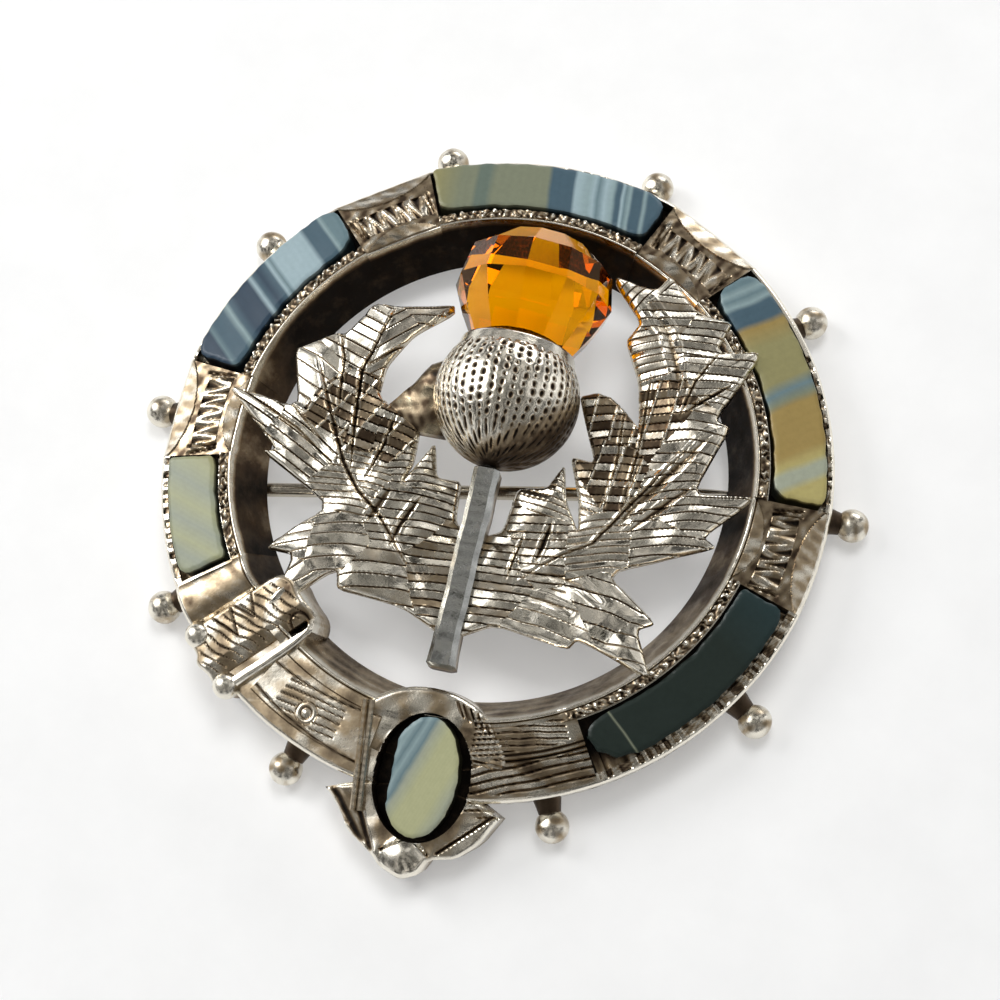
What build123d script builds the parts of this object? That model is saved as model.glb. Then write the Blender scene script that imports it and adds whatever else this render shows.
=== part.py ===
"""Round silver brooch: a buckled belt set with banded agates round a thistle with a citrine flower.

Millimetres. X runs to the thistle's right, Y to its flower and Z out of the face. The brooch
lies on its back, on the balls round its edge, and the origin is on the surface under it, in the
middle of the belt. Angles round the belt are in degrees, clockwise from the flower.
"""

import os
from math import atan, ceil, cos, degrees, pi, radians, sin

from build123d import *

# Belt: a band with a sloping face and sloping walls, highest along its inner edge
belt_radius = 20.0
belt_inner_radius = 15.4
belt_outer_lean = 0.5
belt_inner_lean = 1.6
belt_edge_height = 3.15
belt_inner_height = 4.15
belt_back_height = 0.45
belt_back_inner_height = 1.6

# Raised rim along the inner edge of the belt's face
rim_width = 0.6
rim_lift = 0.25

# Balls soldered low on the outer wall, counted to each side of the flower
ball_radius = 1.0
ball_overhang = 1.2
collar_root_radius = 1.0
collar_root_inset = 1.1
collar_root_height = 1.65
collar_neck_radius = 0.68
collar_neck_overhang = 0.7
balls_a_side = 5
right_ball_first = 15.2
right_ball_step = 35.8
left_ball_first = 20.4
left_ball_step = 34.3

# Stone bays, and the flat-cut stones that lie in them
bay_inner_margin = 0.7
bay_outer_margin = 0.35
bay_depth = 1.2
bay_end_gap = 1.4
stone_seat_gap = 0.06
stone_inner_gap = 0.3
stone_outer_gap = 0.1
stone_bevel_share = 0.09
stone_facet_turn = 10.0

# name, first angle, last angle, lift above the face, cut corner as a share of the stone's width
curved_stones = [
    ("agate_top", -23.6, 20.2, 0.45, 0.32),
    ("agate_upper_right", 40.4, 86.2, 0.3, 0.29),
    ("agate_lower_right", 106.6, 148.0, 0.12, 0.29),
    ("agate_left", -121.6, -99.8, 0.4, 0.19),
    ("agate_upper_left", -79.8, -43.2, 0.5, 0.29),
]

# Strap end: it crosses the belt below the stem and ends in lobes and a round tip
strap_end_width = 10.0
strap_clearance = 0.3

# Outline of the strap end: how far each point lies to the right as a share of the strap end's
# width, and how far it lies from the middle as a share of the belt's radius
strap_outline = [
    # point, across, reach
    ("left root", -0.45, 0.9),
    ("left corner", -0.53, 1.02),
    ("left waist", -0.45, 1.058),
    ("left lobe", -0.34, 1.135),
    ("left notch", -0.17, 1.187),
    ("tip left", -0.12, 1.213),
    ("tip", 0.015, 1.238),
    ("tip right", 0.115, 1.213),
    ("right notch", 0.155, 1.167),
    ("right lobe", 0.3, 1.15),
    ("right bulge", 0.41, 1.1),
    ("right corner", 0.52, 1.0),
    ("right root", 0.45, 0.9),
]

# Bezel round the oval stone
bezel_width = 9.8
bezel_length = 8.6
bezel_inset = 1.9
oval_bay_width = 5.7
oval_bay_length = 7.4
oval_bay_depth = 1.2
oval_inset = 1.1
oval_offset = 0.25
oval_width = 4.2
oval_length = 7.0
oval_flat_side = 1.75
oval_sides = 14
oval_lift = 0.3

# Strap between the buckle and the strap end, with one eyelet, and the keeper beside the oval
strap_margin = 0.9
strap_lift = 0.2
strap_first = 189.5
strap_last = 214.0
eyelet_radius = 0.6
eyelet_hole_radius = 0.32
eyelet_angle = 203.0
eyelet_inset = 1.9
keeper_length = 6.4
keeper_width = 0.5
keeper_lift = 0.4
keeper_offset = 3.4
keeper_inset = 1.7
keeper_turn = 5.0

# Buckle plate across the belt, its slot and its two bosses
buckle_angle = 221.5
buckle_inset = 3.0
buckle_turn = -6.0
buckle_across = 7.4
buckle_along = 4.5
buckle_lift = 0.4
buckle_corner = 0.9
buckle_slot_width = 0.4
buckle_slot_depth = 0.5
buckle_bar_width = 0.75
buckle_boss_radius = 0.85
buckle_boss_inset = 0.5

# Thistle: a round bulb, a cup for the flower, a square stem and two leaves of sheet
bulb_radius = 4.3
bulb_offset = 0.2
bulb_reach = 3.7
bulb_height = 5.2
cup_radius = 3.4
cup_reach = 7.0
cup_length = 1.2
stem_width = 1.6
stem_depth = 1.65
stem_bevel = 0.35
stem_offset = 0.1
stem_length = 12.85
stem_height = 5.65
leaf_span = 20.0
leaf_sheet = 0.55
leaf_overlap = 0.13
arm_radius = 0.6
arm_height = 4.6

# Height of the leaves' dome: distance from the middle and height, as shares of the belt's inner
# edge, both where the sheet's underside lies
leaf_dome = [(0.0, 0.85), (0.26, 0.95), (0.52, 1.04), (0.78, 1.08), (1.0, 1.0), (1.2, 1.01)]

# Leaf outlines as shares of the leaf's span: each lobe's tip and the notch that follows it,
# from the foot of the stem outwards and back to the stem under the bulb
left_leaf = [
    # lobe, tip across, tip along, notch across, notch along
    ("foot", -0.01, -0.55, -0.155, -0.485),
    ("lower blunt", -0.345, -0.475, -0.36, -0.415),
    ("lower long", -0.545, -0.572, -0.495, -0.395),
    ("lower outer", -0.59, -0.39, -0.43, -0.23),
    ("outer short", -0.67, -0.105, -0.63, -0.09),
    ("outer long", -0.84, 0.09, -0.595, 0.045),
    ("upper outer", -0.655, 0.23, -0.595, 0.265),
    ("shoulder", -0.55, 0.305, -0.515, 0.305),
    ("crown", -0.45, 0.415, -0.37, 0.415),
    ("twig", -0.215, 0.455, -0.21, 0.43),
    ("upper inner", -0.31, 0.335, -0.37, 0.23),
    ("arm", -0.37, 0.13, -0.225, 0.055),
    ("inner", -0.22, -0.055, -0.24, -0.12),
    ("inner up", -0.175, 0.03, -0.145, -0.08),
    ("stem side", -0.073, -0.07, -0.06, -0.2),
    ("root", -0.01, -0.23, -0.01, -0.4),
]
right_leaf = [
    # lobe, tip across, tip along, notch across, notch along
    ("foot", 0.02, -0.55, 0.13, -0.49),
    ("lower small", 0.345, -0.515, 0.365, -0.48),
    ("lower long", 0.595, -0.555, 0.525, -0.42),
    ("lower outer", 0.575, -0.39, 0.405, -0.275),
    ("outer short", 0.7, -0.14, 0.655, -0.115),
    ("outer long", 0.785, 0.04, 0.6, 0.005),
    ("upper outer", 0.67, 0.225, 0.62, 0.235),
    ("upper long", 0.715, 0.48, 0.58, 0.455),
    ("shoulder", 0.61, 0.555, 0.5, 0.565),
    ("crown", 0.4, 0.67, 0.365, 0.61),
    ("twig", 0.24, 0.632, 0.245, 0.605),
    ("upper inner", 0.345, 0.495, 0.31, 0.435),
    ("arm", 0.375, 0.315, 0.405, 0.175),
    ("inner small", 0.225, 0.06, 0.28, -0.075),
    ("inner", 0.3, -0.17, 0.245, -0.08),
    ("inner up", 0.215, 0.035, 0.18, -0.055),
    ("stem side", 0.095, -0.065, 0.08, -0.2),
    ("root", 0.02, -0.23, 0.02, -0.4),
]

# Arms behind the bulb: where each starts on the bulb and ends on its leaf, as shares of the span
arms = [("left", -0.16, 0.2, -0.36, 0.1), ("right", 0.18, 0.235, 0.385, 0.165)]

# Citrine flower: rings of facets round an axis along Y, each with its radius as a share of the
# girdle's and its distance from the foot as a share of the stone's length
flower_radius = 4.75
flower_reach = 6.6
flower_length = 7.0
flower_offset = 0.33
flower_facets = 12
flower_gap = 0.1
flower_rings = [
    ("foot", 0.6, 0.0),
    ("pavilion", 0.83, 0.26),
    ("girdle", 1.0, 0.51),
    ("crown", 0.92, 0.8),
    ("table", 0.56, 1.0),
]

# Pin: a tapered wire with a round eye, its hinge under one side of the belt and its catch
# under the other
pin_turn = 10.2
pin_offset = -0.73
pin_height = 0.64
pin_radius = 0.42
pin_taper_start = 12.5
pin_point_radius = 0.08
catch_overhang = 0.2
pin_overrun = 1.2
knuckle_radius = 0.6
knuckle_length = 0.95
eye_length = 1.0
hinge_gap = 0.05
rivet_radius = 0.25
rivet_clearance = 0.04
hinge_seat_gap = 0.12
catch_length = 2.0
catch_inner_radius = 0.5
catch_wall = 0.3
catch_mouth = 50.0

# Worked out from the sizes above
face_slope = (belt_inner_height - belt_edge_height) / (belt_radius - belt_inner_radius)
face_tilt = degrees(atan(face_slope))
belt_back_radius = belt_radius - belt_outer_lean
belt_back_inner_radius = belt_inner_radius - belt_inner_lean
bay_inner_radius = belt_inner_radius + bay_inner_margin
bay_outer_radius = belt_radius - bay_outer_margin
stone_inner_radius = bay_inner_radius + stone_inner_gap
stone_outer_radius = bay_outer_radius - stone_outer_gap
stone_width = stone_outer_radius - stone_inner_radius
stone_bevel = stone_bevel_share * stone_width
oval_reach = belt_radius - oval_inset
bezel_reach = belt_radius - bezel_inset
keeper_reach = belt_radius - keeper_inset
eyelet_reach = belt_radius - eyelet_inset
buckle_reach = belt_radius - buckle_inset
ball_reach = belt_radius + ball_overhang
collar_root_reach = belt_radius - collar_root_inset
collar_neck_reach = belt_radius + collar_neck_overhang
hinge_distance = belt_inner_radius
catch_distance = belt_inner_radius + catch_overhang
belt_depth = belt_inner_height - belt_back_inner_height
rim_outer_radius = belt_inner_radius + rim_width
ball_height = ball_radius
leaf_seat_height = belt_inner_height + rim_lift - leaf_overlap
ball_angles = [right_ball_first + count * right_ball_step for count in range(balls_a_side)]
ball_angles += [-left_ball_first - count * left_ball_step for count in range(balls_a_side)]
big = 3 * belt_radius


def face_height(radius):
    """Height of the belt's face at a distance from the middle."""
    return belt_edge_height + (belt_radius - radius) * face_slope


def around(angle, radius):
    """Place at an angle and a distance from the middle."""
    return radius * sin(radians(angle)), radius * cos(radians(angle))


def radial_plane(angle):
    """Upright plane through the middle: its x runs outwards and its y up."""
    x, y = around(angle, 1)
    return Plane(origin=(0, 0, 0), x_dir=(x, y, 0), z_dir=(y, -x, 0))


def face_plane(angle, radius, lift=0.0):
    """Plane on the belt's face: its x runs clockwise along the belt and its y outwards."""
    x, y = around(angle, radius)
    out_x, out_y = around(angle, 1)
    normal = (face_slope * out_x, face_slope * out_y, 1)
    return Plane(origin=(x, y, face_height(radius) + lift), x_dir=(out_y, -out_x, 0), z_dir=normal)


def pin_plane(distance):
    """Plane square to the pin at a distance from its middle: its y runs up."""
    along_x, along_y = cos(radians(pin_turn)), sin(radians(pin_turn))
    origin = (distance * along_x, pin_offset + distance * along_y, pin_height)
    return Plane(origin=origin, x_dir=(-along_y, along_x, 0), z_dir=(along_x, along_y, 0))


def slab_outline(middle, first, last, corner_share):
    """Corners of a flat-cut stone that follows the belt, in its own face plane."""
    half = radians(last - first) / 2
    corner = corner_share * stone_width
    outside = max(3, ceil((last - first) / stone_facet_turn))
    inside = outside - 1
    points = []
    for radius, other, sides, way in (
        (stone_outer_radius, stone_inner_radius, outside, 1),
        (stone_inner_radius, stone_outer_radius, inside, -1),
    ):
        reach = half - corner / radius
        for step in range(sides + 1):
            turn = way * reach * (2 * step / sides - 1)
            points.append((radius * sin(turn), radius * cos(turn) - middle))
        for depth in (radius - way * corner, other + way * corner):
            points.append((depth * sin(way * half), depth * cos(half) - middle))
    return points


def leaf_points(rows):
    """Corners of a leaf's outline, from its table of tips and notches."""
    points = []
    for name, tip_across, tip_along, notch_across, notch_along in rows:
        points.append((tip_across * leaf_span, tip_along * leaf_span))
        points.append((notch_across * leaf_span, notch_along * leaf_span))
    return points


def leaf(rows):
    """One leaf: sheet with the table's outline, domed over the middle of the brooch."""
    under = [(far * belt_inner_radius, up * leaf_seat_height) for far, up in leaf_dome]
    over = [(far, up + leaf_sheet) for far, up in under]
    with BuildPart() as sheet:
        with BuildSketch():
            with BuildLine():
                Polyline(*leaf_points(rows), close=True)
            make_face()
        extrude(amount=big)
        with BuildSketch(Plane.XZ):
            with BuildLine():
                Polyline(*under, *reversed(over), close=True)
            make_face()
        revolve(axis=Axis.Z, mode=Mode.INTERSECT)
    return sheet.part


os.makedirs("parts", exist_ok=True)

left_leaf_sheet = leaf(left_leaf)
right_leaf_sheet = leaf(right_leaf)

# Silver frame: all the soldered metal in one piece
with BuildPart() as silver_frame:
    # Belt
    with BuildSketch(Plane.XZ):
        with BuildLine():
            Polyline(
                (belt_radius, belt_edge_height),
                (belt_inner_radius, belt_inner_height),
                (belt_back_inner_radius, belt_back_inner_height),
                (belt_back_radius, belt_back_height),
                close=True,
            )
        make_face()
    revolve(axis=Axis.Z)

    # Raised inner rim, from the strap round to the strap end
    with BuildSketch(radial_plane(strap_last)):
        with BuildLine():
            Polyline(
                (belt_inner_radius, face_height(belt_inner_radius) - rim_lift),
                (belt_inner_radius, face_height(belt_inner_radius) + rim_lift),
                (rim_outer_radius, face_height(rim_outer_radius) + rim_lift),
                (rim_outer_radius, face_height(rim_outer_radius) - rim_lift),
                close=True,
            )
        make_face()
    revolve(axis=Axis.Z, revolution_arc=-(360 - strap_last + 180 - 25))

    # Strap end: its bezel plate, its lobes and its tip, as deep as the belt
    with BuildSketch(face_plane(180, belt_radius)):
        with Locations((0, bezel_reach - belt_radius)):
            Ellipse(bezel_width / 2, bezel_length / 2)
        with BuildLine():
            corners = []
            for name, across, reach in strap_outline:
                corners.append((-across * strap_end_width, (reach - 1) * belt_radius))
            Polyline(*corners, close=True)
        make_face()
    extrude(amount=-belt_depth)

    # Strap with its eyelet
    with BuildSketch(radial_plane(strap_first)):
        strap_inner = belt_inner_radius + strap_margin
        strap_outer = belt_radius - strap_margin
        with BuildLine():
            Polyline(
                (strap_inner, face_height(strap_inner) - strap_lift),
                (strap_inner, face_height(strap_inner) + strap_lift),
                (strap_outer, face_height(strap_outer) + strap_lift),
                (strap_outer, face_height(strap_outer) - strap_lift),
                close=True,
            )
        make_face()
    revolve(axis=Axis.Z, revolution_arc=-(strap_last - strap_first))
    with BuildSketch(face_plane(eyelet_angle, eyelet_reach)):
        Circle(eyelet_radius)
        Circle(eyelet_hole_radius, mode=Mode.SUBTRACT)
    extrude(amount=2 * strap_lift)

    # Keeper beside the oval stone
    with BuildSketch(face_plane(180, belt_radius)):
        with Locations(Location((keeper_offset, keeper_reach - belt_radius), keeper_turn)):
            Rectangle(keeper_width, keeper_length)
    extrude(amount=keeper_lift)

    # Buckle plate, slot and bosses
    buckle_face = face_plane(buckle_angle, buckle_reach).rotated((0, 0, buckle_turn))
    with BuildSketch(buckle_face.offset(buckle_lift)):
        RectangleRounded(buckle_along, buckle_across, buckle_corner)
    extrude(amount=-(belt_depth + buckle_lift))
    with BuildSketch(buckle_face.offset(buckle_lift)):
        with Locations((buckle_bar_width - buckle_along / 2, 0)):
            Rectangle(buckle_slot_width, buckle_across - 2 * buckle_corner)
    extrude(amount=-buckle_slot_depth, mode=Mode.SUBTRACT)
    for along in (-1, 1):
        boss_x = along * (buckle_along / 2 - buckle_boss_inset)
        boss_y = buckle_across / 2 - buckle_boss_inset
        boss = buckle_face.offset(buckle_lift) * Pos(boss_x, boss_y, 0)
        add(boss * Sphere(buckle_boss_radius, mode=Mode.PRIVATE))
    # Flared collars of the balls
    for angle in ball_angles:
        for reach, height, radius in (
            (collar_root_reach, collar_root_height, collar_root_radius),
            (collar_neck_reach, ball_height, collar_neck_radius),
        ):
            x, y = around(angle, reach)
            out_x, out_y = around(angle, 1)
            with BuildSketch(Plane(origin=(x, y, height), z_dir=(out_x, out_y, 0))):
                Circle(radius)
        loft()
    # Only the balls reach down to the surface
    split(bisect_by=Plane.XY.offset(strap_clearance), keep=Keep.TOP)

    # Stone bays
    for name, first, last, lift, corner_share in curved_stones:
        with BuildSketch(radial_plane(first - bay_end_gap)):
            with BuildLine():
                lean = bay_depth * face_slope
                Polyline(
                    (bay_inner_radius - lean, face_height(bay_inner_radius) - bay_depth),
                    (bay_outer_radius - lean, face_height(bay_outer_radius) - bay_depth),
                    (bay_outer_radius + lean, face_height(bay_outer_radius) + bay_depth),
                    (bay_inner_radius + lean, face_height(bay_inner_radius) + bay_depth),
                    close=True,
                )
            make_face()
        revolve(axis=Axis.Z, revolution_arc=-(last - first + 2 * bay_end_gap), mode=Mode.SUBTRACT)
    with BuildSketch(face_plane(180, oval_reach)):
        with Locations((-oval_offset, 0)):
            Ellipse(oval_bay_width / 2, oval_bay_length / 2)
    extrude(amount=-oval_bay_depth, mode=Mode.SUBTRACT)
    with BuildSketch(face_plane(180, oval_reach)):
        with Locations((-oval_offset, 0)):
            Ellipse(oval_bay_width / 2, oval_bay_length / 2)
    extrude(amount=oval_bay_depth, mode=Mode.SUBTRACT)

    # Balls
    for angle in ball_angles:
        x, y = around(angle, ball_reach)
        with Locations((x, y, ball_height)):
            Sphere(ball_radius)

    # Bulb and the cup for the flower
    with Locations((bulb_offset, bulb_reach, bulb_height)):
        Sphere(bulb_radius)
    cup_mouth = Plane(origin=(bulb_offset, cup_reach, bulb_height), z_dir=(0, 1, 0))
    with BuildSketch(cup_mouth):
        Circle(cup_radius)
    extrude(amount=-cup_length)

    # Stem, with bevelled upper edges
    stem_top = stem_height
    stem_foot = stem_height - stem_depth
    stem_start = bulb_reach - bulb_radius / 2
    with BuildSketch(Plane(origin=(stem_offset, stem_start, 0), x_dir=(1, 0, 0), z_dir=(0, -1, 0))):
        with BuildLine():
            Polyline(
                (-stem_width / 2, stem_foot),
                (stem_width / 2, stem_foot),
                (stem_width / 2, stem_top - stem_bevel),
                (stem_width / 2 - stem_bevel, stem_top),
                (stem_bevel - stem_width / 2, stem_top),
                (-stem_width / 2, stem_top - stem_bevel),
                close=True,
            )
        make_face()
    extrude(amount=stem_length + stem_start)

    # Leaves, and the arms that hold them to the bulb
    add(left_leaf_sheet)
    add(right_leaf_sheet)
    for name, start_across, start_along, end_across, end_along in arms:
        start = Vector(start_across * leaf_span, start_along * leaf_span, arm_height)
        end = Vector(end_across * leaf_span, end_along * leaf_span, arm_height)
        with BuildSketch(Plane(origin=start, z_dir=end - start)):
            Circle(arm_radius)
        extrude(amount=(end - start).length)

    # Seat of the flower
    flower_foot = (flower_offset, flower_reach, bulb_height)
    flower_axis = Plane(origin=flower_foot, x_dir=(1, 0, 0), z_dir=(0, 0, 1))
    with BuildSketch(flower_axis):
        with BuildLine():
            seat = []
            for name, share, along in flower_rings:
                seat.append((share * flower_radius + flower_gap, along * flower_length))
            Polyline((0, -flower_gap), (seat[0][0], -flower_gap), *seat, (0, flower_length), close=True)
        make_face()
    revolve(axis=Axis((flower_offset, 0, bulb_height), (0, 1, 0)), mode=Mode.SUBTRACT)

    # Hinge knuckles, their rivet and the seat that lets the eye turn
    hinge = pin_plane(-hinge_distance)
    side = hinge.x_dir
    up = Vector(0, 0, 1)
    barrel = Plane(origin=hinge.origin, x_dir=hinge.z_dir, z_dir=side)
    seat_length = eye_length + 2 * hinge_gap
    with BuildSketch(barrel.offset(-seat_length / 2)):
        Circle(knuckle_radius + hinge_seat_gap)
    extrude(amount=seat_length, mode=Mode.SUBTRACT)
    for way in (-1, 1):
        with BuildSketch(barrel.offset(way * seat_length / 2)):
            Circle(knuckle_radius)
        extrude(amount=way * knuckle_length)
    with BuildSketch(barrel.offset(-seat_length / 2 - knuckle_length)):
        Circle(rivet_radius)
    extrude(amount=seat_length + 2 * knuckle_length)

    # Catch: a hook of strip round the pin, open towards the stem's foot and the back
    with BuildSketch(pin_plane(catch_distance - catch_length / 2)):
        with BuildLine():
            outer = catch_inner_radius + catch_wall
            inside = CenterArc((0, 0), catch_inner_radius, 90, -90 - catch_mouth)
            outside = CenterArc((0, 0), outer, 90, -90 - catch_mouth)
            Line(inside @ 0, outside @ 0)
            Line(inside @ 1, outside @ 1)
        make_face()
    extrude(amount=catch_length)
silver_frame.part.label = "silver_frame"
export_step(silver_frame.part, "parts/silver_frame.step")

# Stones of the belt
for name, first, last, lift, corner_share in curved_stones:
    middle = (stone_inner_radius + stone_outer_radius) / 2
    top = face_plane((first + last) / 2, middle, lift)
    with BuildPart() as stone:
        with BuildSketch(top):
            with BuildLine():
                Polyline(*slab_outline(middle, first, last, corner_share), close=True)
            make_face()
        extrude(amount=-(lift + bay_depth - stone_seat_gap))
        table = stone.faces().sort_by(Axis(top.origin, top.z_dir))[-1]
        chamfer(table.edges(), stone_bevel)
    stone.part.label = name
    export_step(stone.part, "parts/" + name + ".step")

# Oval stone of the strap end, with one straight side
oval_top = face_plane(180, oval_reach, oval_lift)
oval_points = []
for side in range(oval_sides):
    turn = 2 * pi * (side + 0.5) / oval_sides
    across = min(oval_width / 2 * cos(turn), oval_flat_side)
    oval_points.append((across - oval_offset, oval_length / 2 * sin(turn)))
with BuildPart() as agate_oval:
    with BuildSketch(oval_top):
        with BuildLine():
            Polyline(*oval_points, close=True)
        make_face()
    extrude(amount=-(oval_lift + oval_bay_depth - stone_seat_gap))
    table = agate_oval.faces().sort_by(Axis(oval_top.origin, oval_top.z_dir))[-1]
    chamfer(table.edges(), stone_bevel)
agate_oval.part.label = "agate_oval"
export_step(agate_oval.part, "parts/agate_oval.step")

# Citrine: a loft from each ring of facets to the next
with BuildPart() as citrine:
    for count in range(len(flower_rings) - 1):
        for name, share, along in flower_rings[count : count + 2]:
            start = (flower_offset, flower_reach + along * flower_length, bulb_height)
            with BuildSketch(Plane(origin=start, x_dir=(1, 0, 0), z_dir=(0, 1, 0))):
                RegularPolygon(share * flower_radius, flower_facets)
        loft(ruled=True)
citrine.part.label = "citrine"
export_step(citrine.part, "parts/citrine.step")

# Pin
with BuildPart() as pin:
    with BuildSketch(barrel.offset(-eye_length / 2)):
        Circle(knuckle_radius)
    extrude(amount=eye_length)
    with BuildSketch(pin_plane(-hinge_distance)):
        Circle(pin_radius)
    extrude(amount=hinge_distance + pin_taper_start)
    with BuildSketch(pin_plane(pin_taper_start)):
        Circle(pin_radius)
    with BuildSketch(pin_plane(catch_distance + pin_overrun)):
        Circle(pin_point_radius)
    loft()
    with BuildSketch(barrel.offset(-eye_length / 2)):
        Circle(rivet_radius + rivet_clearance)
    extrude(amount=eye_length, mode=Mode.SUBTRACT)
pin.part.label = "pin"
export_step(pin.part, "parts/pin.step")
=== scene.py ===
"""Looks of a round silver brooch: engraved belt and leaves, punched bulb, banded agates and a citrine.

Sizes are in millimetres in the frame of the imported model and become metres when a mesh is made.
Angles round the belt are in degrees, clockwise from the flower.
"""

import bpy
import numpy as np
from mathutils import Matrix, Vector
from mathutils.geometry import delaunay_2d_cdt


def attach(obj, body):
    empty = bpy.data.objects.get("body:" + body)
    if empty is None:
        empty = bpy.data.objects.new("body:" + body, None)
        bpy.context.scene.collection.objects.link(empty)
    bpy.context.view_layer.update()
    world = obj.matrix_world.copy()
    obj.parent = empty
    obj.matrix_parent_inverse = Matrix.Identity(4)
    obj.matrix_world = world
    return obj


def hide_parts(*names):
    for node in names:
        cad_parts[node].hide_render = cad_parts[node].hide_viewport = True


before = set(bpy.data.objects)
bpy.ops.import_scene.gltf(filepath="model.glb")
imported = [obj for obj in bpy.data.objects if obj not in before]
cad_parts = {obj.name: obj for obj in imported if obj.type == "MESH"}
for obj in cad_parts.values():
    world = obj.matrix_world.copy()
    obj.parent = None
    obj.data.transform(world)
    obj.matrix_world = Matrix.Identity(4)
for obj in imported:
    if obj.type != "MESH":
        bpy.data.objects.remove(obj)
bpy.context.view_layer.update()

metres = 0.001
# Painted shade on the undersides of carved parts and low on their walls; under the stones it gives the
# painted black below their edges
underside_shade = 0.6

# Steps of the meshes: along the belt in degrees, across it, and in the planes of the other pieces
bay_turn_step = 0.25
panel_turn_step = 0.2
strap_turn_step = 0.21
bay_radius_step = 0.05
panel_radius_step = 0.055
strap_radius_step = 0.06
leaf_step = 0.058
strap_end_step = 0.09
buckle_step = 0.08
arm_step = 0.12
stone_step = 0.14
underside_step = 0.7
# Rows of a mesh of even triangles lie this share of its step apart
row_share = 0.866

random = np.random.default_rng(7)

# Belt
belt_radius = 20.0
belt_inner_radius = 15.4
belt_back_radius = 19.5
belt_back_inner_radius = 13.8
engraved_inner_radius = 15.7
engraved_outer_radius = 19.99
belt_edge_height = 3.15
belt_inner_height = 4.15
belt_back_height = 0.45
belt_back_inner_height = 1.6
face_slope = (belt_inner_height - belt_edge_height) / (belt_radius - belt_inner_radius)
face_normal = np.array([face_slope, 1.0]) / np.hypot(face_slope, 1.0)
rim_lift = 0.25
rim_radii = [15.4, 15.43, 15.46, 15.49, 15.52, 15.55, 15.58, 15.6, 15.62, 15.64]
wire_radius = 15.49
wire_outer_radius = 15.58
wire_line_radius = 15.62
rim_inner_radius = 15.66
rim_outer_radius = 16.16
bay_inner_radius = 16.26
bay_outer_gap = 0.08
bay_depth = 0.75
bay_end_gap = 0.55

stone_inner_radius = 16.4
stone_outer_radius = 19.55
stone_width = stone_outer_radius - stone_inner_radius
stone_depth = 1.14

# stone, first angle, last angle, lift above the face, its four corners cut as shares of its width
# (at the last angle outside and inside, at the first angle inside and outside), its outer radius,
# and where along the stone the belt's outer edge is notched: from, to
stones = [
    ("agate_top", -23.9, 20.6, 0.42, (0.34, 0.16, 0.2, 0.12), 19.6, 0.55, 0.9),
    ("agate_upper_right", 40.0, 86.6, 0.3, (0.14, 0.26, 0.3, 0.3), 19.5, 0.4, 1.0),
    ("agate_lower_right", 106.2, 149.0, 0.12, (0.62, 0.34, 0.1, 0.2), 19.25, 0.0, 1.0),
    ("agate_left", -121.9, -99.4, 0.36, (0.1, 0.1, 0.12, 0.2), 19.4, 0.0, 1.0),
    ("agate_upper_left", -80.0, -42.8, 0.46, (0.2, 0.36, 0.16, 0.28), 19.6, 0.0, 0.12),
]
oval_width = 4.2
oval_length = 7.0
oval_flat_side = 1.75
oval_lift = 0.3
mill_pitch = 0.46
mill_depth = 0.07
notch_pitch = 0.74
notch_depth = 0.2
edge_round_radius = 19.72
edge_round_depth = 0.2

# Engraved panels between the stones: angles of their middles
panel_middles = [30.3, 96.4, -89.8, -33.4]
panel_teeth = 5
teeth_share = 0.8
teeth_slant = 0.35
crescent_inner = 0.95
crescent_outer = 1.15
teeth_inner_radius = 16.65
teeth_outer_radius = 18.2
teeth_depth = 0.2

# Balls
ball_radius = 1.0
ball_reach = 21.2
ball_angles = [15.2 + 35.8 * count for count in range(5)] + [-20.4 - 34.3 * count for count in range(5)]
# Flared collar of a ball: reach, height, radius
collar_rings = [
    (18.9, 1.65, 1.0), (19.5, 1.42, 0.86), (20.1, 1.2, 0.72), (20.5, 1.05, 0.64), (20.8, 1.0, 0.72),
]

# Strap end, buckle, strap
strap_end_width = 10.0
strap_outline = [
    # point, across, reach
    ("left root", -0.45, 0.9),
    ("left corner", -0.53, 1.02),
    ("left waist", -0.45, 1.058),
    ("left lobe", -0.34, 1.135),
    ("left notch", -0.17, 1.187),
    ("tip left", -0.12, 1.213),
    ("tip", 0.015, 1.238),
    ("tip right", 0.115, 1.213),
    ("right notch", 0.155, 1.167),
    ("right lobe", 0.3, 1.15),
    ("right bulge", 0.41, 1.1),
    ("right corner", 0.52, 1.0),
    ("right root", 0.45, 0.9),
]
belt_depth = belt_inner_height - belt_back_inner_height
bezel_width = 9.8
bezel_length = 8.6
bezel_reach = 18.1
oval_bay_width = 5.7
oval_bay_length = 7.4
oval_bay_depth = 1.2
oval_reach = 18.9
oval_offset = 0.25
# Where the strap's part changes, as angles: fans, strap, its hatch lines, zigzag groove, collar
fan_first = 149.4
fan_last = 172.0
strap_first = 189.5
strap_last = 214.0
hatch_first = 196.5
hatch_last = 209.0
zigzag_first = 226.2
zigzag_last = 229.3
zigzag_middle = 228.0
collar_first = 229.5
collar_last = 237.0
strap_lift = 0.2
eyelet_angle = 203.0
eyelet_reach = 18.1
buckle_angle = 221.5
buckle_reach = 17.0
buckle_turn = -6.0
buckle_across = 7.4
buckle_along = 4.5
buckle_lift = 0.4
# Keeper, in the plane of the belt's face at the foot
keeper_middle = (3.4, -1.7)
keeper_half_length = 3.15
keeper_tilt = 5.0

# Thistle
bulb_radius = 4.3
bulb_middle = (0.2, 3.7, 5.2)
bulb_lines = 44
bulb_dot_pitch = 0.5
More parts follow.
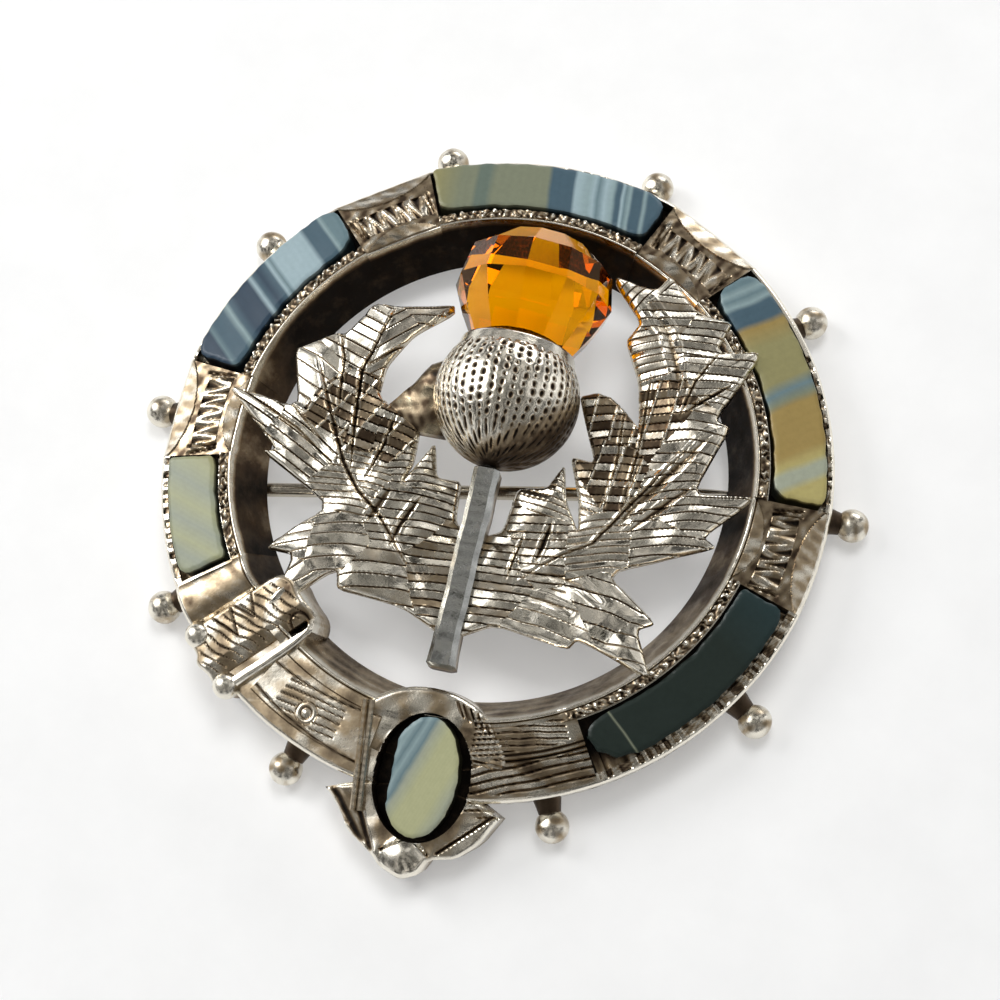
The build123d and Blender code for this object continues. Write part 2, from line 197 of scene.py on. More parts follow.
# Rolled rim of the flower's cup: along, radius
cup_rings = [
    (5.3, 3.7), (5.9, 3.64), (6.3, 3.5), (6.55, 3.46), (6.68, 3.42),
    (6.72, 3.36), (6.68, 3.28), (6.5, 3.2), (6.3, 3.1),
]
stem_width = 1.6
stem_depth = 1.65
stem_bevel = 0.35
stem_offset = 0.1
stem_length = 12.85
stem_height = 5.65
# Darkness at the stem's eight corners, from the lower left round by the right to the upper left: painted
# shade low on the sides and underneath, lighter at the upper bevels
stem_shades = (0.7, 0.7, 0.7, 0.7, 0.1, 0.18, 0.14, 0.0)
leaf_span = 20.0
leaf_sheet = 0.55
leaf_seam_turn = 74.0
leaf_seam_pitch = 1.25
leaf_seat_height = 4.27
leaf_dome = [(0.0, 0.85), (0.26, 0.95), (0.52, 1.04), (0.78, 1.08), (1.0, 1.0), (1.2, 1.01)]
arm_height = 4.5
arm_outline = [
    (-7.2, 1.4), (-6.8, 2.1), (-5.6, 3.7), (-4.8, 5.2), (-3.4, 6.0),
    (-2.8, 3.1), (-3.0, 0.9), (-4.6, 0.9), (-6.0, 1.1),
]

# Pin
pin_turn = 10.2
pin_offset = -0.73
pin_height = 0.64
hinge_distance = 15.4
catch_distance = 15.6
knuckle_radius = 0.6
knuckle_length = 0.95
eye_length = 1.0
hinge_gap = 0.05
catch_length = 2.0
catch_inner_radius = 0.5
catch_wall = 0.3
catch_mouth = 50.0
# Knuckle of the hinge: distance from its inner end, change of the radius
knuckle_rings = [
    (0.0, -0.06), (0.06, 0.0), (0.2, 0.0),
    (knuckle_length - 0.2, 0.0), (knuckle_length - 0.06, -0.02), (knuckle_length, -0.1),
]

left_leaf = [
    # lobe, tip across, tip along, notch across, notch along
    ("foot", -0.01, -0.55, -0.155, -0.485),
    ("lower blunt", -0.345, -0.475, -0.36, -0.415),
    ("lower long", -0.545, -0.572, -0.495, -0.395),
    ("lower outer", -0.59, -0.39, -0.43, -0.23),
    ("outer short", -0.67, -0.105, -0.63, -0.09),
    ("outer long", -0.84, 0.09, -0.595, 0.045),
    ("upper outer", -0.655, 0.23, -0.595, 0.265),
    ("shoulder", -0.55, 0.305, -0.515, 0.305),
    ("crown", -0.45, 0.415, -0.37, 0.415),
    ("twig", -0.215, 0.455, -0.21, 0.43),
    ("upper inner", -0.31, 0.335, -0.37, 0.23),
    ("arm", -0.37, 0.13, -0.225, 0.055),
    ("inner", -0.22, -0.055, -0.24, -0.12),
    ("inner up", -0.175, 0.03, -0.145, -0.08),
    ("stem side", -0.073, -0.07, -0.06, -0.2),
    ("root", -0.01, -0.23, -0.01, -0.4),
]
right_leaf = [
    # lobe, tip across, tip along, notch across, notch along
    ("foot", 0.02, -0.55, 0.13, -0.49),
    ("lower small", 0.345, -0.515, 0.365, -0.48),
    ("lower long", 0.595, -0.555, 0.525, -0.42),
    ("lower outer", 0.575, -0.39, 0.405, -0.275),
    ("outer short", 0.7, -0.14, 0.655, -0.115),
    ("outer long", 0.785, 0.04, 0.6, 0.005),
    ("upper outer", 0.67, 0.225, 0.62, 0.235),
    ("upper long", 0.715, 0.48, 0.58, 0.455),
    ("shoulder", 0.61, 0.555, 0.5, 0.565),
    ("crown", 0.4, 0.67, 0.365, 0.61),
    ("twig", 0.24, 0.632, 0.245, 0.605),
    ("upper inner", 0.345, 0.495, 0.31, 0.435),
    ("arm", 0.375, 0.315, 0.405, 0.175),
    ("arm top", 0.36, 0.22, 0.31, 0.255),
    ("arm end", 0.262, 0.265, 0.215, 0.24),
    ("arm low", 0.245, 0.17, 0.3, 0.05),
    ("inner small", 0.225, 0.06, 0.28, -0.075),
    ("inner", 0.3, -0.17, 0.245, -0.08),
    ("inner up", 0.215, 0.035, 0.18, -0.055),
    ("stem side", 0.095, -0.065, 0.08, -0.2),
    ("root", 0.02, -0.23, 0.02, -0.4),
]

# Engraving on the leaves: the nearest place's lines run at its angle, at its pitch, and cut so deep
left_hatch = [
    # place, x, y, angle, pitch, depth, tilt of each strip, bow of the lines, painted shade of the strips
    ("stem side", -1.5, -6.5, 3, 0.5, 0.1, 0.12, 0, 0.5),
    ("inner", -4.2, -4.5, 3, 0.52, 0.1, 0.1, 0.02, 0.25),
    ("lower blunt", -5.4, -8.8, 10, 0.75, 0.08, 0.06, 0.03, 0.3),
    ("lower middle", -7.8, -6.6, 14, 0.7, 0.07, 0.08, 0.05, 0.12),
    ("lower long", -10.2, -9.6, 40, 0.8, 0.06, 0.05, 0.03, 0.15),
    ("lower outer", -10.2, -6.6, 18, 0.55, 0.06, 0.06, 0.06, 0.1),
    ("junction", -7.4, -3.4, 0, 0.4, 0.06, 0.05, 0.03, 0.12),
    ("outer", -11.5, -1.2, -27, 0.55, 0.09, 0.1, 0.02, 0.12),
    ("outer long", -14.5, 1.2, -26, 0.5, 0.12, 0.12, 0, 0.1),
    ("upper outer", -11.6, 2.6, -25, 0.8, 0.06, 0.06, 0, 0.12),
    ("ladder left", -9.6, 1.5, -16, 0.5, 0.12, 0.1, 0, 0.3),
    ("ladder", -7.6, 1.2, -10, 0.55, 0.16, 0.12, 0, 0.4),
    ("ladder right", -5.8, 1.0, -12, 0.5, 0.14, 0.12, 0, 0.4),
    ("crown left", -9.2, 6.4, -20, 0.6, 0.1, 0.1, 0, 0.3),
    ("crown right", -6.9, 6.2, 42, 0.6, 0.1, 0.1, 0, 0.3),
    ("twig", -5.2, 8.6, 15, 0.5, 0.08, 0.08, 0, 0.45),
    ("inner up", -3.6, -0.8, 8, 0.42, 0.08, 0.06, 0.04, 0.15),
]
right_hatch = [
    # place, x, y, angle, pitch, depth, tilt of each strip, bow of the lines, painted shade of the strips
    ("stem side", 1.8, -6.5, 4, 0.5, 0.1, 0.1, 0, 0.35),
    ("inner", 4.2, -4.4, 5, 0.5, 0.1, 0.1, 0, 0.3),
    ("lower blade", 8.2, -7.6, -8, 0.85, 0.1, 0.12, 0.03, 0.12),
    ("lower long", 10.8, -9.6, -2, 0.7, 0.07, 0.06, 0.03, 0.12),
    ("lower small", 6.3, -9.2, -10, 0.8, 0.05, 0.05, 0.02, 0.15),
    ("junction", 7.0, -4.0, 18, 0.42, 0.06, 0.06, 0.03, 0.2),
    ("outer low", 11.0, -3.2, 12, 0.5, 0.09, 0.1, 0.02, 0.1),
    ("outer", 11.5, -1.0, 15, 0.5, 0.1, 0.1, 0.02, 0.12),
    ("upper outer", 11.6, 3.2, 6, 0.6, 0.08, 0.1, 0.02, 0.3),
    ("upper long", 12.6, 7.4, 8, 0.5, 0.1, 0.14, 0.03, 0.08),
    ("shoulder", 11.0, 10.2, 8, 0.45, 0.1, 0.12, 0.03, 0.15),
    ("crown", 8.4, 11.0, 12, 0.5, 0.08, 0.08, 0.02, 0.35),
    ("twig", 6.4, 12.4, 60, 0.5, 0.08, 0.06, 0, 0.3),
    ("upper inner", 7.0, 8.0, 20, 0.45, 0.07, 0.08, 0, 0.35),
    ("ladder", 6.8, 4.0, 14, 0.5, 0.13, 0.1, 0, 0.4),
    ("ladder outer", 9.0, 4.2, 10, 0.5, 0.12, 0.1, 0, 0.35),
    ("ladder low", 6.8, 0.5, 8, 0.5, 0.12, 0.1, 0, 0.4),
    ("inner up", 5.0, -1.6, -10, 0.4, 0.06, 0.06, 0, 0.3),
]

# Deeper cuts on the leaves: width and depth in the middle, then the cut's points
left_cuts = [
    # width, depth, points
    (0.3, 0.16, [(-3.0, -7.6), (-5.6, -4.6), (-7.2, -3.4), (-8.4, -1.9), (-9.8, 0.8), (-11.4, 4.2)]),
    (0.24, 0.16, [(-6.9, -2.6), (-6.3, -0.4), (-6.0, 1.6)]),
    (0.28, 0.2, [(-7.9, -2.2), (-8.4, 1.4), (-8.7, 4.0), (-7.6, 8.0)]),
    (0.22, 0.14, [(-9.4, 1.0), (-9.9, 4.4), (-10.6, 6.2)]),
    (0.2, 0.12, [(-8.6, 4.0), (-6.4, 6.2), (-4.6, 8.6)]),
    (0.55, 0.26, [(-5.3, -2.9), (-5.9, -4.4), (-6.2, -5.1)]),
    (0.42, 0.22, [(-3.4, -3.0), (-4.2, -4.8), (-4.5, -6.4)]),
    (0.18, 0.12, [(-8.6, -2.4), (-11.6, -0.4), (-16.3, 1.8)]),
    (0.16, 0.1, [(-9.0, -1.6), (-12.2, 0.9), (-15.4, 2.4)]),
]
right_cuts = [
    # width, depth, points
    (0.26, 0.14, [(3.2, -6.9), (5.2, -5.2), (7.0, -4.0), (8.6, -1.4), (10.2, 1.2), (11.8, 3.4)]),
    (0.7, 0.28, [(8.2, -2.6), (9.4, -0.6), (10.8, 1.4), (12.4, 3.6)]),
    (0.5, 0.2, [(8.8, -3.0), (10.4, -1.2), (12.0, 0.6)]),
    (0.9, 0.3, [(7.0, 11.2), (8.6, 9.6), (9.6, 7.4), (10.2, 5.0)]),
    (0.22, 0.14, [(10.4, 4.4), (10.8, 6.6), (11.8, 9.0)]),
    (0.3, 0.2, [(10.6, 4.6), (11.9, 6.0), (13.0, 7.2)]),
    (0.18, 0.12, [(8.2, -1.6), (8.4, 2.4), (8.2, 6.8)]),
    (0.16, 0.1, [(7.2, -1.8), (7.3, 1.6), (7.0, 5.4)]),
    (0.4, 0.22, [(4.4, -3.2), (4.2, -4.6), (4.0, -5.6)]),
    (0.2, 0.16, [(3.0, -4.2), (2.7, -5.8), (2.6, -7.0)]),
    (0.62, 0.1, [(3.6, -6.6), (5.0, -6.2), (6.9, -6.6), (8.2, -7.4)]),
    (0.6, 0.1, [(3.5, -7.8), (5.0, -7.8), (6.6, -8.2)]),
]

# Camera and its picture
picture_angle = 24.0
camera_turn = 29.85
camera_rise = 70.62
camera_roll = 13.5
camera_distance = 137.95
camera_aim = (0.86, -1.87, 3.15)


def face_height(radius):
    """Height of the belt's face at a distance from the middle."""
    return belt_edge_height + (belt_radius - radius) * face_slope


def at_angle(angle, radius):
    """Place at an angle round the belt and a distance from the middle."""
    return radius * np.sin(np.radians(angle)), radius * np.cos(np.radians(angle))


def turn_from(angle, middle):
    """Angle from a middle angle, between -180 and 180."""
    return (angle - middle + 180.0) % 360.0 - 180.0


def ease(value, start, end):
    """Smooth step from 0 at start to 1 at end."""
    share = np.clip((value - start) / (end - start), 0.0, 1.0)
    return share * share * (3.0 - 2.0 * share)


def band(value, start, end, soft):
    """1 between start and end, with soft flanks outside them."""
    return ease(value, start - soft, start) * (1.0 - ease(value, end, end + soft))


def ripple(x, y, length, seed):
    """Smooth irregular waves between about -1 and 1, of a given wave length."""
    waves = np.random.default_rng(seed)
    total = 0.0
    turns = waves.uniform(0, np.pi, 5)
    phases = waves.uniform(0, 2 * np.pi, 5)
    for turn, phase, share in zip(turns, phases, waves.uniform(0.6, 1.6, 5)):
        total = total + np.sin((x * np.cos(turn) + y * np.sin(turn)) * 2 * np.pi / (length * share) + phase)
    return total / 2.5


def grid_part(points, dark):
    """Part from a grid of points, closed along its columns and with flat ends."""
    rows, columns = points.shape[:2]
    low, left = np.meshgrid(np.arange(rows - 1) * columns, np.arange(columns), indexing="ij")
    right = (left + 1) % columns
    high = low + columns
    faces = np.stack([low + left, high + left, high + right, low + right], -1).reshape(-1, 4).tolist()
    faces.append(list(range(columns)))
    faces.append([(rows - 1) * columns + count for count in reversed(range(columns))])
    return points.reshape(-1, 3), faces, np.broadcast_to(dark, (rows, columns)).reshape(-1)


def new_object(name, data):
    """Object in the scene with its data."""
    item = bpy.data.objects.new(name, data)
    bpy.context.scene.collection.objects.link(item)
    return item


def make(name, parts, material, sharp=32.0, body="brooch", slot="silver"):
    """Piece from its parts, each a list of points, of faces and of how dark each point is."""
    points = np.concatenate([part[0] for part in parts])
    dark = np.concatenate([part[2] for part in parts])
    faces = []
    start = 0
    for part in parts:
        faces.extend([[start + corner for corner in face] for face in part[1]])
        start += len(part[0])
    mesh = bpy.data.meshes.new(name)
    mesh.from_pydata((points * metres).tolist(), [], faces)
    mesh.validate()
    mesh.update()
    mesh.shade_smooth()
    mesh.set_sharp_from_angle(angle=np.radians(sharp))
    shade = mesh.attributes.new("dark", "FLOAT", "POINT")
    shade.data.foreach_set("value", np.clip(dark, 0.0, 1.0).astype(np.float32))
    mesh.materials.append(material)
    piece = new_object(name, mesh)
    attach(piece, body)
    return piece


def local_frame(origin, x_dir, normal):
    """Function that takes places in a plane and heights above it to the brooch's frame."""
    origin = np.array(origin, float)
    z_dir = np.array(normal, float) / np.linalg.norm(normal)
    x_dir = np.array(x_dir, float)
    x_dir = x_dir - z_dir * x_dir.dot(z_dir)
    x_dir = x_dir / np.linalg.norm(x_dir)
    y_dir = np.cross(z_dir, x_dir)

    def place(x, y, z):
        x, y, z = np.broadcast_arrays(x, y, z)
        return origin + x[..., None] * x_dir + y[..., None] * y_dir + z[..., None] * z_dir

    return place


def own_frame(x, y, z):
    """Places and heights above them in the brooch's own frame."""
    return np.stack(np.broadcast_arrays(x, y, z), -1)


def face_frame(angle, radius, turn=0.0):
    """Plane on the belt's face: its x runs clockwise along the belt and its y outwards."""
    out_x, out_y = at_angle(angle, 1.0)
    normal = np.array([face_slope * out_x, face_slope * out_y, 1.0])
    along = np.array([out_y, -out_x, 0.0])
    out = np.cross(normal / np.linalg.norm(normal), along)
    x_dir = along * np.cos(np.radians(turn)) + out * np.sin(np.radians(turn))
    return local_frame((radius * out_x, radius * out_y, face_height(radius)), x_dir, normal)


def run_distance(x, y, start, end):
    """Distance of points from a straight run, and how far along it they lie, as a share."""
    (ax, ay), (bx, by) = start, end
    squared = max((bx - ax) ** 2 + (by - ay) ** 2, 1e-12)
    share = np.clip(((x - ax) * (bx - ax) + (y - ay) * (by - ay)) / squared, 0, 1)
    return np.hypot(x - ax - share * (bx - ax), y - ay - share * (by - ay)), share


def edge_distance(x, y, outline):
    """Distance of points from an outline, and which of them lie inside it."""
    nearest = np.full(x.shape, 1e9)
    inside = np.zeros(x.shape, bool)
    for (ax, ay), (bx, by) in zip(outline, np.roll(outline, -1, axis=0)):
        nearest = np.minimum(nearest, run_distance(x, y, (ax, ay), (bx, by))[0])
        if ay != by:
            crosses = (ay > y) != (by > y)
            inside ^= crosses & (x < (bx - ax) * (y - ay) / (by - ay) + ax)
    return nearest, inside


def line_distance(x, y, points):
    """Distance of points from a line of straight runs, and how far along it they lie, as a share."""
    points = np.array(points, float)
    lengths = np.hypot(*np.diff(points, axis=0).T)
    nearest = np.full(x.shape, 1e9)
    share = np.zeros(x.shape)
    start = 0.0
    for first, last, length in zip(points[:-1], points[1:], lengths):
        away, run = run_distance(x, y, first, last)
        share = np.where(away < nearest, (start + run * length) / lengths.sum(), share)
        nearest = np.minimum(nearest, away)
        start += length
    return nearest, share


def signed_area(outline):
    """Twice an outline's area, above zero where it runs counterclockwise."""
    after = np.roll(outline, -1, axis=0)
    return np.sum(outline[:, 0] * after[:, 1] - after[:, 0] * outline[:, 1])


def divide(outline, step):
    """Outline with points added so that no side is longer than a step."""
    points = []
    for start, end in zip(outline, np.roll(outline, -1, axis=0)):
        count = max(1, int(np.ceil(np.hypot(*(end - start)) / step)))
        for part in range(count):
            points.append(start + (end - start) * part / count)
    return np.array(points)


def round_corners(outline, share, rounds):
    """Outline with its corners cut, the given number of times."""
    points = np.array(outline, float)
    for _ in range(rounds):
        after = np.roll(points, -1, axis=0)
        shift = (after - points) * share
        points = np.stack([points + shift, after - shift], 1).reshape(-1, 2)
    return points


def spread(border, step, row_step, shift, gap):
    """Points of a grid inside a border and a gap away from it, every second row shifted."""
    low, high = border.min(0), border.max(0)
    x, y = np.meshgrid(np.arange(low[0], high[0], step), np.arange(low[1], high[1], row_step))
    x = x + np.where(np.arange(len(x)) % 2 == 0, 0.0, shift)[:, None]
    x, y = x.ravel(), y.ravel()
    edge, inside = edge_distance(x, y, border)
    return np.stack([x, y], -1)[inside & (edge > gap)]


def triangles(points, edges, border_count):
    """Triangles inside the border: their points, corners, and the border's points by number."""
    places = [Vector(point) for point in points.tolist()]
    result = delaunay_2d_cdt(places, edges, [list(range(border_count))], 1, 1e-6)
    number = {old: index for index, found in enumerate(result[3]) for old in found if old < border_count}
    flat = np.array([list(point) for point in result[0]])
    return flat, [list(face) for face in result[2]], [number[count] for count in range(border_count)]


def relief(outline, top, bottom, place, step, creases=()):
    """Part with a sculpted top over an outline in a plane.

    top(x, y, edge) returns heights and darkness, and bottom is a height or gives it at x, y.
    Creases are loops that the mesh follows.
    """
    border = divide(np.array(outline, float), step * 1.5)
    count = len(border)
    points = spread(border, step, step * row_share, step / 2, step * 0.6)
    loops = [border]
    edges = []
    start = count
    for crease in creases:
        points = points[edge_distance(*points.T, crease)[0] > step * 0.5]
        after = start + np.roll(np.arange(len(crease)), -1)
        edges += [(start + corner, int(end)) for corner, end in enumerate(after)]
        loops.append(crease)
        start += len(crease)
    flat, faces, ring = triangles(np.concatenate(loops + [points]), edges, count)
    height, dark = top(*flat.T, edge_distance(*flat.T, border)[0])
    points = spread(border, underside_step, underside_step, 0.0, underside_step * 0.4)
    under, under_faces, under_ring = triangles(np.concatenate([border, points]), [], count)
    under_height = bottom(*under.T) if callable(bottom) else bottom
    start = len(flat)
    faces += [[start + corner for corner in reversed(face)] for face in under_faces]
    upright = signed_area(border) > 0
    for side in range(count):
        after = (side + 1) % count
        wall = [ring[side], start + under_ring[side], start + under_ring[after], ring[after]]
        faces.append(wall if upright else wall[::-1])
    all_points = np.concatenate([place(*flat.T, height), place(*under.T, under_height)])
    return all_points, faces, np.concatenate([dark, np.full(len(under), underside_shade)])


def groove(distance, width):
    """Profile of a cut line: 1 in its middle, 0 outside its width."""
    return np.clip(1.0 - distance / (width / 2), 0.0, 1.0)


def cut(height, dark, mask, depth, stain=1.0):
    """Heights and darkness with a cut: lower by its depth and stained where the mask is 1."""
    return height - depth * mask, np.maximum(dark, stain * mask)


def rounded(height, dark, edge, width, drop, polish):
    """Heights and darkness with a worn round edge."""
    round_edge = np.clip(1 - edge / width, 0, 1)
    return height - drop * round_edge**2, dark * (1 - polish * round_edge)


def loft(sections, dark=0.0):
    """Part through a row of closed sections of equal count, with flat ends."""
    return grid_part(np.array(sections, float), dark)


def tube(points, radii, sides, dark=0.0):
    """Round bar along points, with a radius at each."""
    points = np.array(points, float)
    turns = np.linspace(0, 2 * np.pi, sides, endpoint=False)
    sections = []
    for point, way, radius in zip(points, np.gradient(points, axis=0), radii):
        way = way / np.linalg.norm(way)
        side = np.cross(way, (0.0, 0.0, 1.0))
        side = side / np.linalg.norm(side)
        up = np.cross(side, way)
        ring = point + radius * (np.cos(turns)[:, None] * side + np.sin(turns)[:, None] * up)
        sections.append(ring[::-1])
    return loft(sections, dark)


def hatch(x, y, angle, pitch, width, start=0.0):
    """Cut lines at an angle: their profile, the place across each strip, from -0.5 to 0.5, and its number."""
    turn = np.radians(angle)
    across = (y * np.cos(turn) - x * np.sin(turn)) / pitch + start
    number = np.floor(across)
    strip = across - number - 0.5
    return groove((0.5 - np.abs(strip)) * pitch, width), strip, number


def milled(along, radius, seed):
    """Rough milled band beside the stones: heights and darkness."""
    wave = ripple(along, 3 * radius, 1.3, seed)
    phase = 2 * np.pi * (along / mill_pitch + 0.5 * wave + (radius - rim_inner_radius) / 1.6)
    strength = np.clip(0.6 + 0.6 * ripple(along, radius, 1.1, seed + 1), 0, 1)
    rough = ripple(along, radius, 0.42, seed + 2)
    height = mill_depth * np.sin(phase) * strength + 0.06 * rough
    dark = 0.5 - 0.34 * np.sin(phase) * strength - 0.26 * rough
    return height, dark


def panel_relief(angle, radius, middle, half):
    """Heights and darkness of one engraved panel."""
    turn = turn_from(angle, middle)
    middle_radius = (teeth_inner_radius + teeth_outer_radius) / 2
    along = np.radians(turn) * middle_radius
    share = np.clip(turn / half, -1, 1)
    pitch = 2 * np.radians(half) * middle_radius * teeth_share / panel_teeth
    v = np.clip((radius - teeth_inner_radius) / (teeth_outer_radius - teeth_inner_radius), 0, 1)
    bend = 0.1 * ripple(along, radius, 2.2, 12)
    phase = (along + bend + teeth_slant * (v - 0.5)) / pitch + panel_teeth / 2
    number = np.clip(np.floor(phase), 0, panel_teeth - 1).astype(int)
    strength = random.uniform(0.55, 1.0, panel_teeth)[number]
    place = phase - np.floor(phase)
    wide = np.clip(1 - np.abs(place - 0.5) / np.maximum(v * 0.36, 0.02), 0, 1) * v
    side = np.minimum(place, 1 - place)
    narrow = np.clip(1 - side / np.maximum((1 - v) * 0.3, 0.02), 0, 1) * (1 - v)
    within = band(np.abs(phase - panel_teeth / 2), -1, panel_teeth / 2, 0.15) * (v > 0) * (v < 1)
    tooth = np.maximum(wide, 0.8 * narrow) * within * strength
    x, y = at_angle(angle, radius)
    ground = 0.52 + 0.16 * ripple(x, y, 0.8, 13)
    ridge = 0.05 * within * np.clip(1 - tooth * 4, 0, 1)
    height = ridge - teeth_depth * tooth
    dark = np.maximum(ground * (1 - 0.35 * within), 0.95 * np.clip(tooth * 2.2 - 0.12, 0, 1))
    # A few plain strokes at each end of the panel: side, lean, distance from the end
    for sign, lean, far in ((-1, 0.55, 1.1), (1, 0.4, 0.9), (-1, 0.2, 2.1)):
        stroke = groove(np.abs(turn - sign * (half - far) + lean * (radius - 17.4)), 0.8)
        height, dark = cut(height, dark, stroke * band(radius, 16.7, 18.3, 0.2), 0.14, 0.75)
    # Plain crescents along both edges
    lens = np.clip(1 - share**2, 0, 1) ** 0.8
    inner_line = belt_inner_radius + 0.1 + crescent_inner * lens
    outer_line = belt_radius - 0.3 - crescent_outer * lens
    inner = np.clip(inner_line - radius, 0, None)
    outer = np.clip(radius - outer_line, 0, None)
    plain = (inner > 0) | (outer > 0)
    height = np.where(plain, 0.1 - 0.2 * inner - 0.3 * outer, height)
    dark = np.where(plain, 0.37 + 0.14 * ripple(x, y, 1.1, 14), dark)
    crease = np.minimum(np.abs(radius - inner_line), np.abs(radius - outer_line))
    dark = np.maximum(dark, 0.42 * groove(crease, 0.16))
    return height + 0.012 * ripple(x, y, 0.9, 15), dark


def bay_relief(angle, radius, first, last, outer, notch_from, notch_to):
    """Heights and darkness beside and under one stone."""
    seed = int(first) % 360
    rough, stain = milled(np.radians(angle) * rim_outer_radius, radius, seed)
    rim = band(radius, rim_inner_radius, rim_outer_radius, 0.03)
    height = rim_lift * (radius < rim_outer_radius + 0.04) + rim * rough
    dark = np.where(rim > 0.5, stain, 0.12)
    # The bed under each stone is painted black: painted shade in the recess
    bay = (radius > bay_inner_radius) & (radius < outer + bay_outer_gap)
    height = np.where(bay, -bay_depth, height)
    dark = np.where(bay, 1.0, dark)
    # Irregular notches outside the stone
    edge_along = np.radians(angle) * belt_radius
    share = (angle - first) / (last - first)
    notched = band(share, notch_from, notch_to, 0.01) * band(radius, outer + bay_outer_gap, 19.76, 0.04)
    drift = 0.45 * ripple(edge_along, 0 * radius, 2.6, seed + 5)
    wave = np.sin(2 * np.pi * (edge_along / notch_pitch + drift))
    depth = np.clip(0.75 + 0.4 * ripple(edge_along, 0 * radius, 1.3, seed + 7), 0.2, 1)
    notch = np.clip(0.35 + 1.3 * wave, 0, 1) * notched * depth
    height = height - notch_depth * notch
    stain = 0.26 + 0.42 * notch + 0.16 * ripple(edge_along, 6 * radius, 0.5, seed + 6)
    dark = np.where(notched > 0.5, stain, dark)
    return height, dark


def strap_relief(angle, radius):
    """Heights and darkness from the lower right stone round to the left one."""
    height = np.zeros(angle.shape)
    dark = np.zeros(angle.shape)
    x, y = at_angle(angle, radius)
    # Rim with its milled end beside the stone
    rough, stain = milled(np.radians(angle) * rim_outer_radius, radius, 77)
    rim = band(radius, rim_inner_radius, rim_outer_radius, 0.03) * (angle < 151.6)
    height += rim_lift * (radius < rim_outer_radius) * (1 - band(angle, 153.0, 216.0, 2.0)) + rim * rough
    dark = np.where(rim > 0.5, stain, dark)
    # Fans of lines between the strap end and the stone
    fan = band(angle, fan_first, fan_last, 0.2)
    line, strip, _ = hatch(x, y + 0.04 * ripple(x, y, 2.0, 16), 13.0, 0.33, 0.2)
    lower_line, lower_strip, _ = hatch(x, y + 0.05 * ripple(x, y, 2.4, 17), 24.0, 0.46, 0.24)
    upper = fan * band(radius, 15.9, 17.2, 0.1) * band(angle, 152.3, fan_last, 0.5)
    lower = fan * band(radius, 17.9, 19.5, 0.1)
    height += 0.07 * upper * strip + 0.14 * lower * lower_strip
    height, dark = cut(height, dark, upper * line, 0.1, 0.9)
    height, dark = cut(height, dark, lower * lower_line, 0.14, 0.85)
    for line_radius in (17.42, 17.74):
        height, dark = cut(height, dark, fan * groove(np.abs(radius - line_radius), 0.24), 0.16)
    # Collar, brown groove and zigzag before the buckle
    collar = np.clip((collar_last - angle) / (collar_last - collar_first), 0, 1) * (angle > collar_first)
    height += 0.35 * np.sin(np.pi * collar) ** 0.7
    dark = np.maximum(dark, (0.42 + 0.14 * ripple(x, y, 1.0, 18)) * (collar > 0))
    height, dark = cut(height, dark, band(angle, zigzag_first, zigzag_last, 0.15), 0.12, 0.5)
    zigzag_at = zigzag_middle + 1.2 * (2 * np.abs(((radius - 15.6) / 1.3) % 1.0 - 0.5) * 2 - 1)
    zigzag = groove(np.abs(angle - zigzag_at), 0.6) * band(radius, 15.8, 19.2, 0.1)
    height, dark = cut(height, dark, zigzag, 0.1, 0.9)
    # Strap: borders, hatch lines and the ringed eyelet
    strap = band(angle, strap_first, strap_last, 0.1)
    on_strap = strap * band(radius, 16.3, 19.1, 0.04)
    height += strap_lift * on_strap
    share = (angle - strap_first) / (strap_last - strap_first)
    for radius_first, radius_last, width in ((16.3, 17.0, 0.16), (19.2, 18.7, 0.2)):
        border = groove(np.abs(radius - radius_first - (radius_last - radius_first) * share), width)
        height, dark = cut(height, dark, strap * border, 0.08, 0.85)
    dark = np.maximum(dark, strap * ease(radius, 18.8, 19.1) * (0.42 + 0.12 * ripple(x, y, 1.3, 19)))
    eyelet_x, eyelet_y = at_angle(eyelet_angle, eyelet_reach)
    away = np.hypot(x - eyelet_x, y - eyelet_y)
    short_line, short_strip, _ = hatch(x, y + 0.03 * ripple(x, y, 1.6, 20), -12.0, 0.42, 0.13)
    hatched = on_strap * band(angle, hatch_first, hatch_last, 0.3) * band(radius, 17.0, 18.6, 0.3)
    hatched = hatched * (away > 0.7)
    height += 0.03 * hatched * short_strip
    height, dark = cut(height, dark, hatched * short_line, 0.07, 0.9)
    ring = (away < 0.62) * strap
    boss = 0.14 * np.clip(1 - (away / 0.28) ** 2, 0, 1)
    height += ring * (0.08 * np.clip(1 - ((away - 0.48) / 0.14) ** 2, 0, 1) + boss - 0.04)
    dark = np.maximum(dark, ring * groove(np.abs(away - 0.33), 0.14))
    dark = np.maximum(dark, 0.8 * strap * groove(np.abs(away - 0.66), 0.12))
    # Recess under the oval stone, painted black as shade
    oval_share = np.hypot((x - oval_offset) / (oval_bay_width / 2), (y + oval_reach) / (oval_bay_length / 2))
    recess = oval_share < 0.97
    height = np.where(recess, -oval_bay_depth, height)
    dark = np.where(recess, 1.0, dark)
    # Slight waves of worn hand work
    height += 0.014 * ripple(x, y, 1.7, 5)
    return height, np.maximum(dark, 0.33 + 0.18 * ripple(x, y, 2.4, 6))


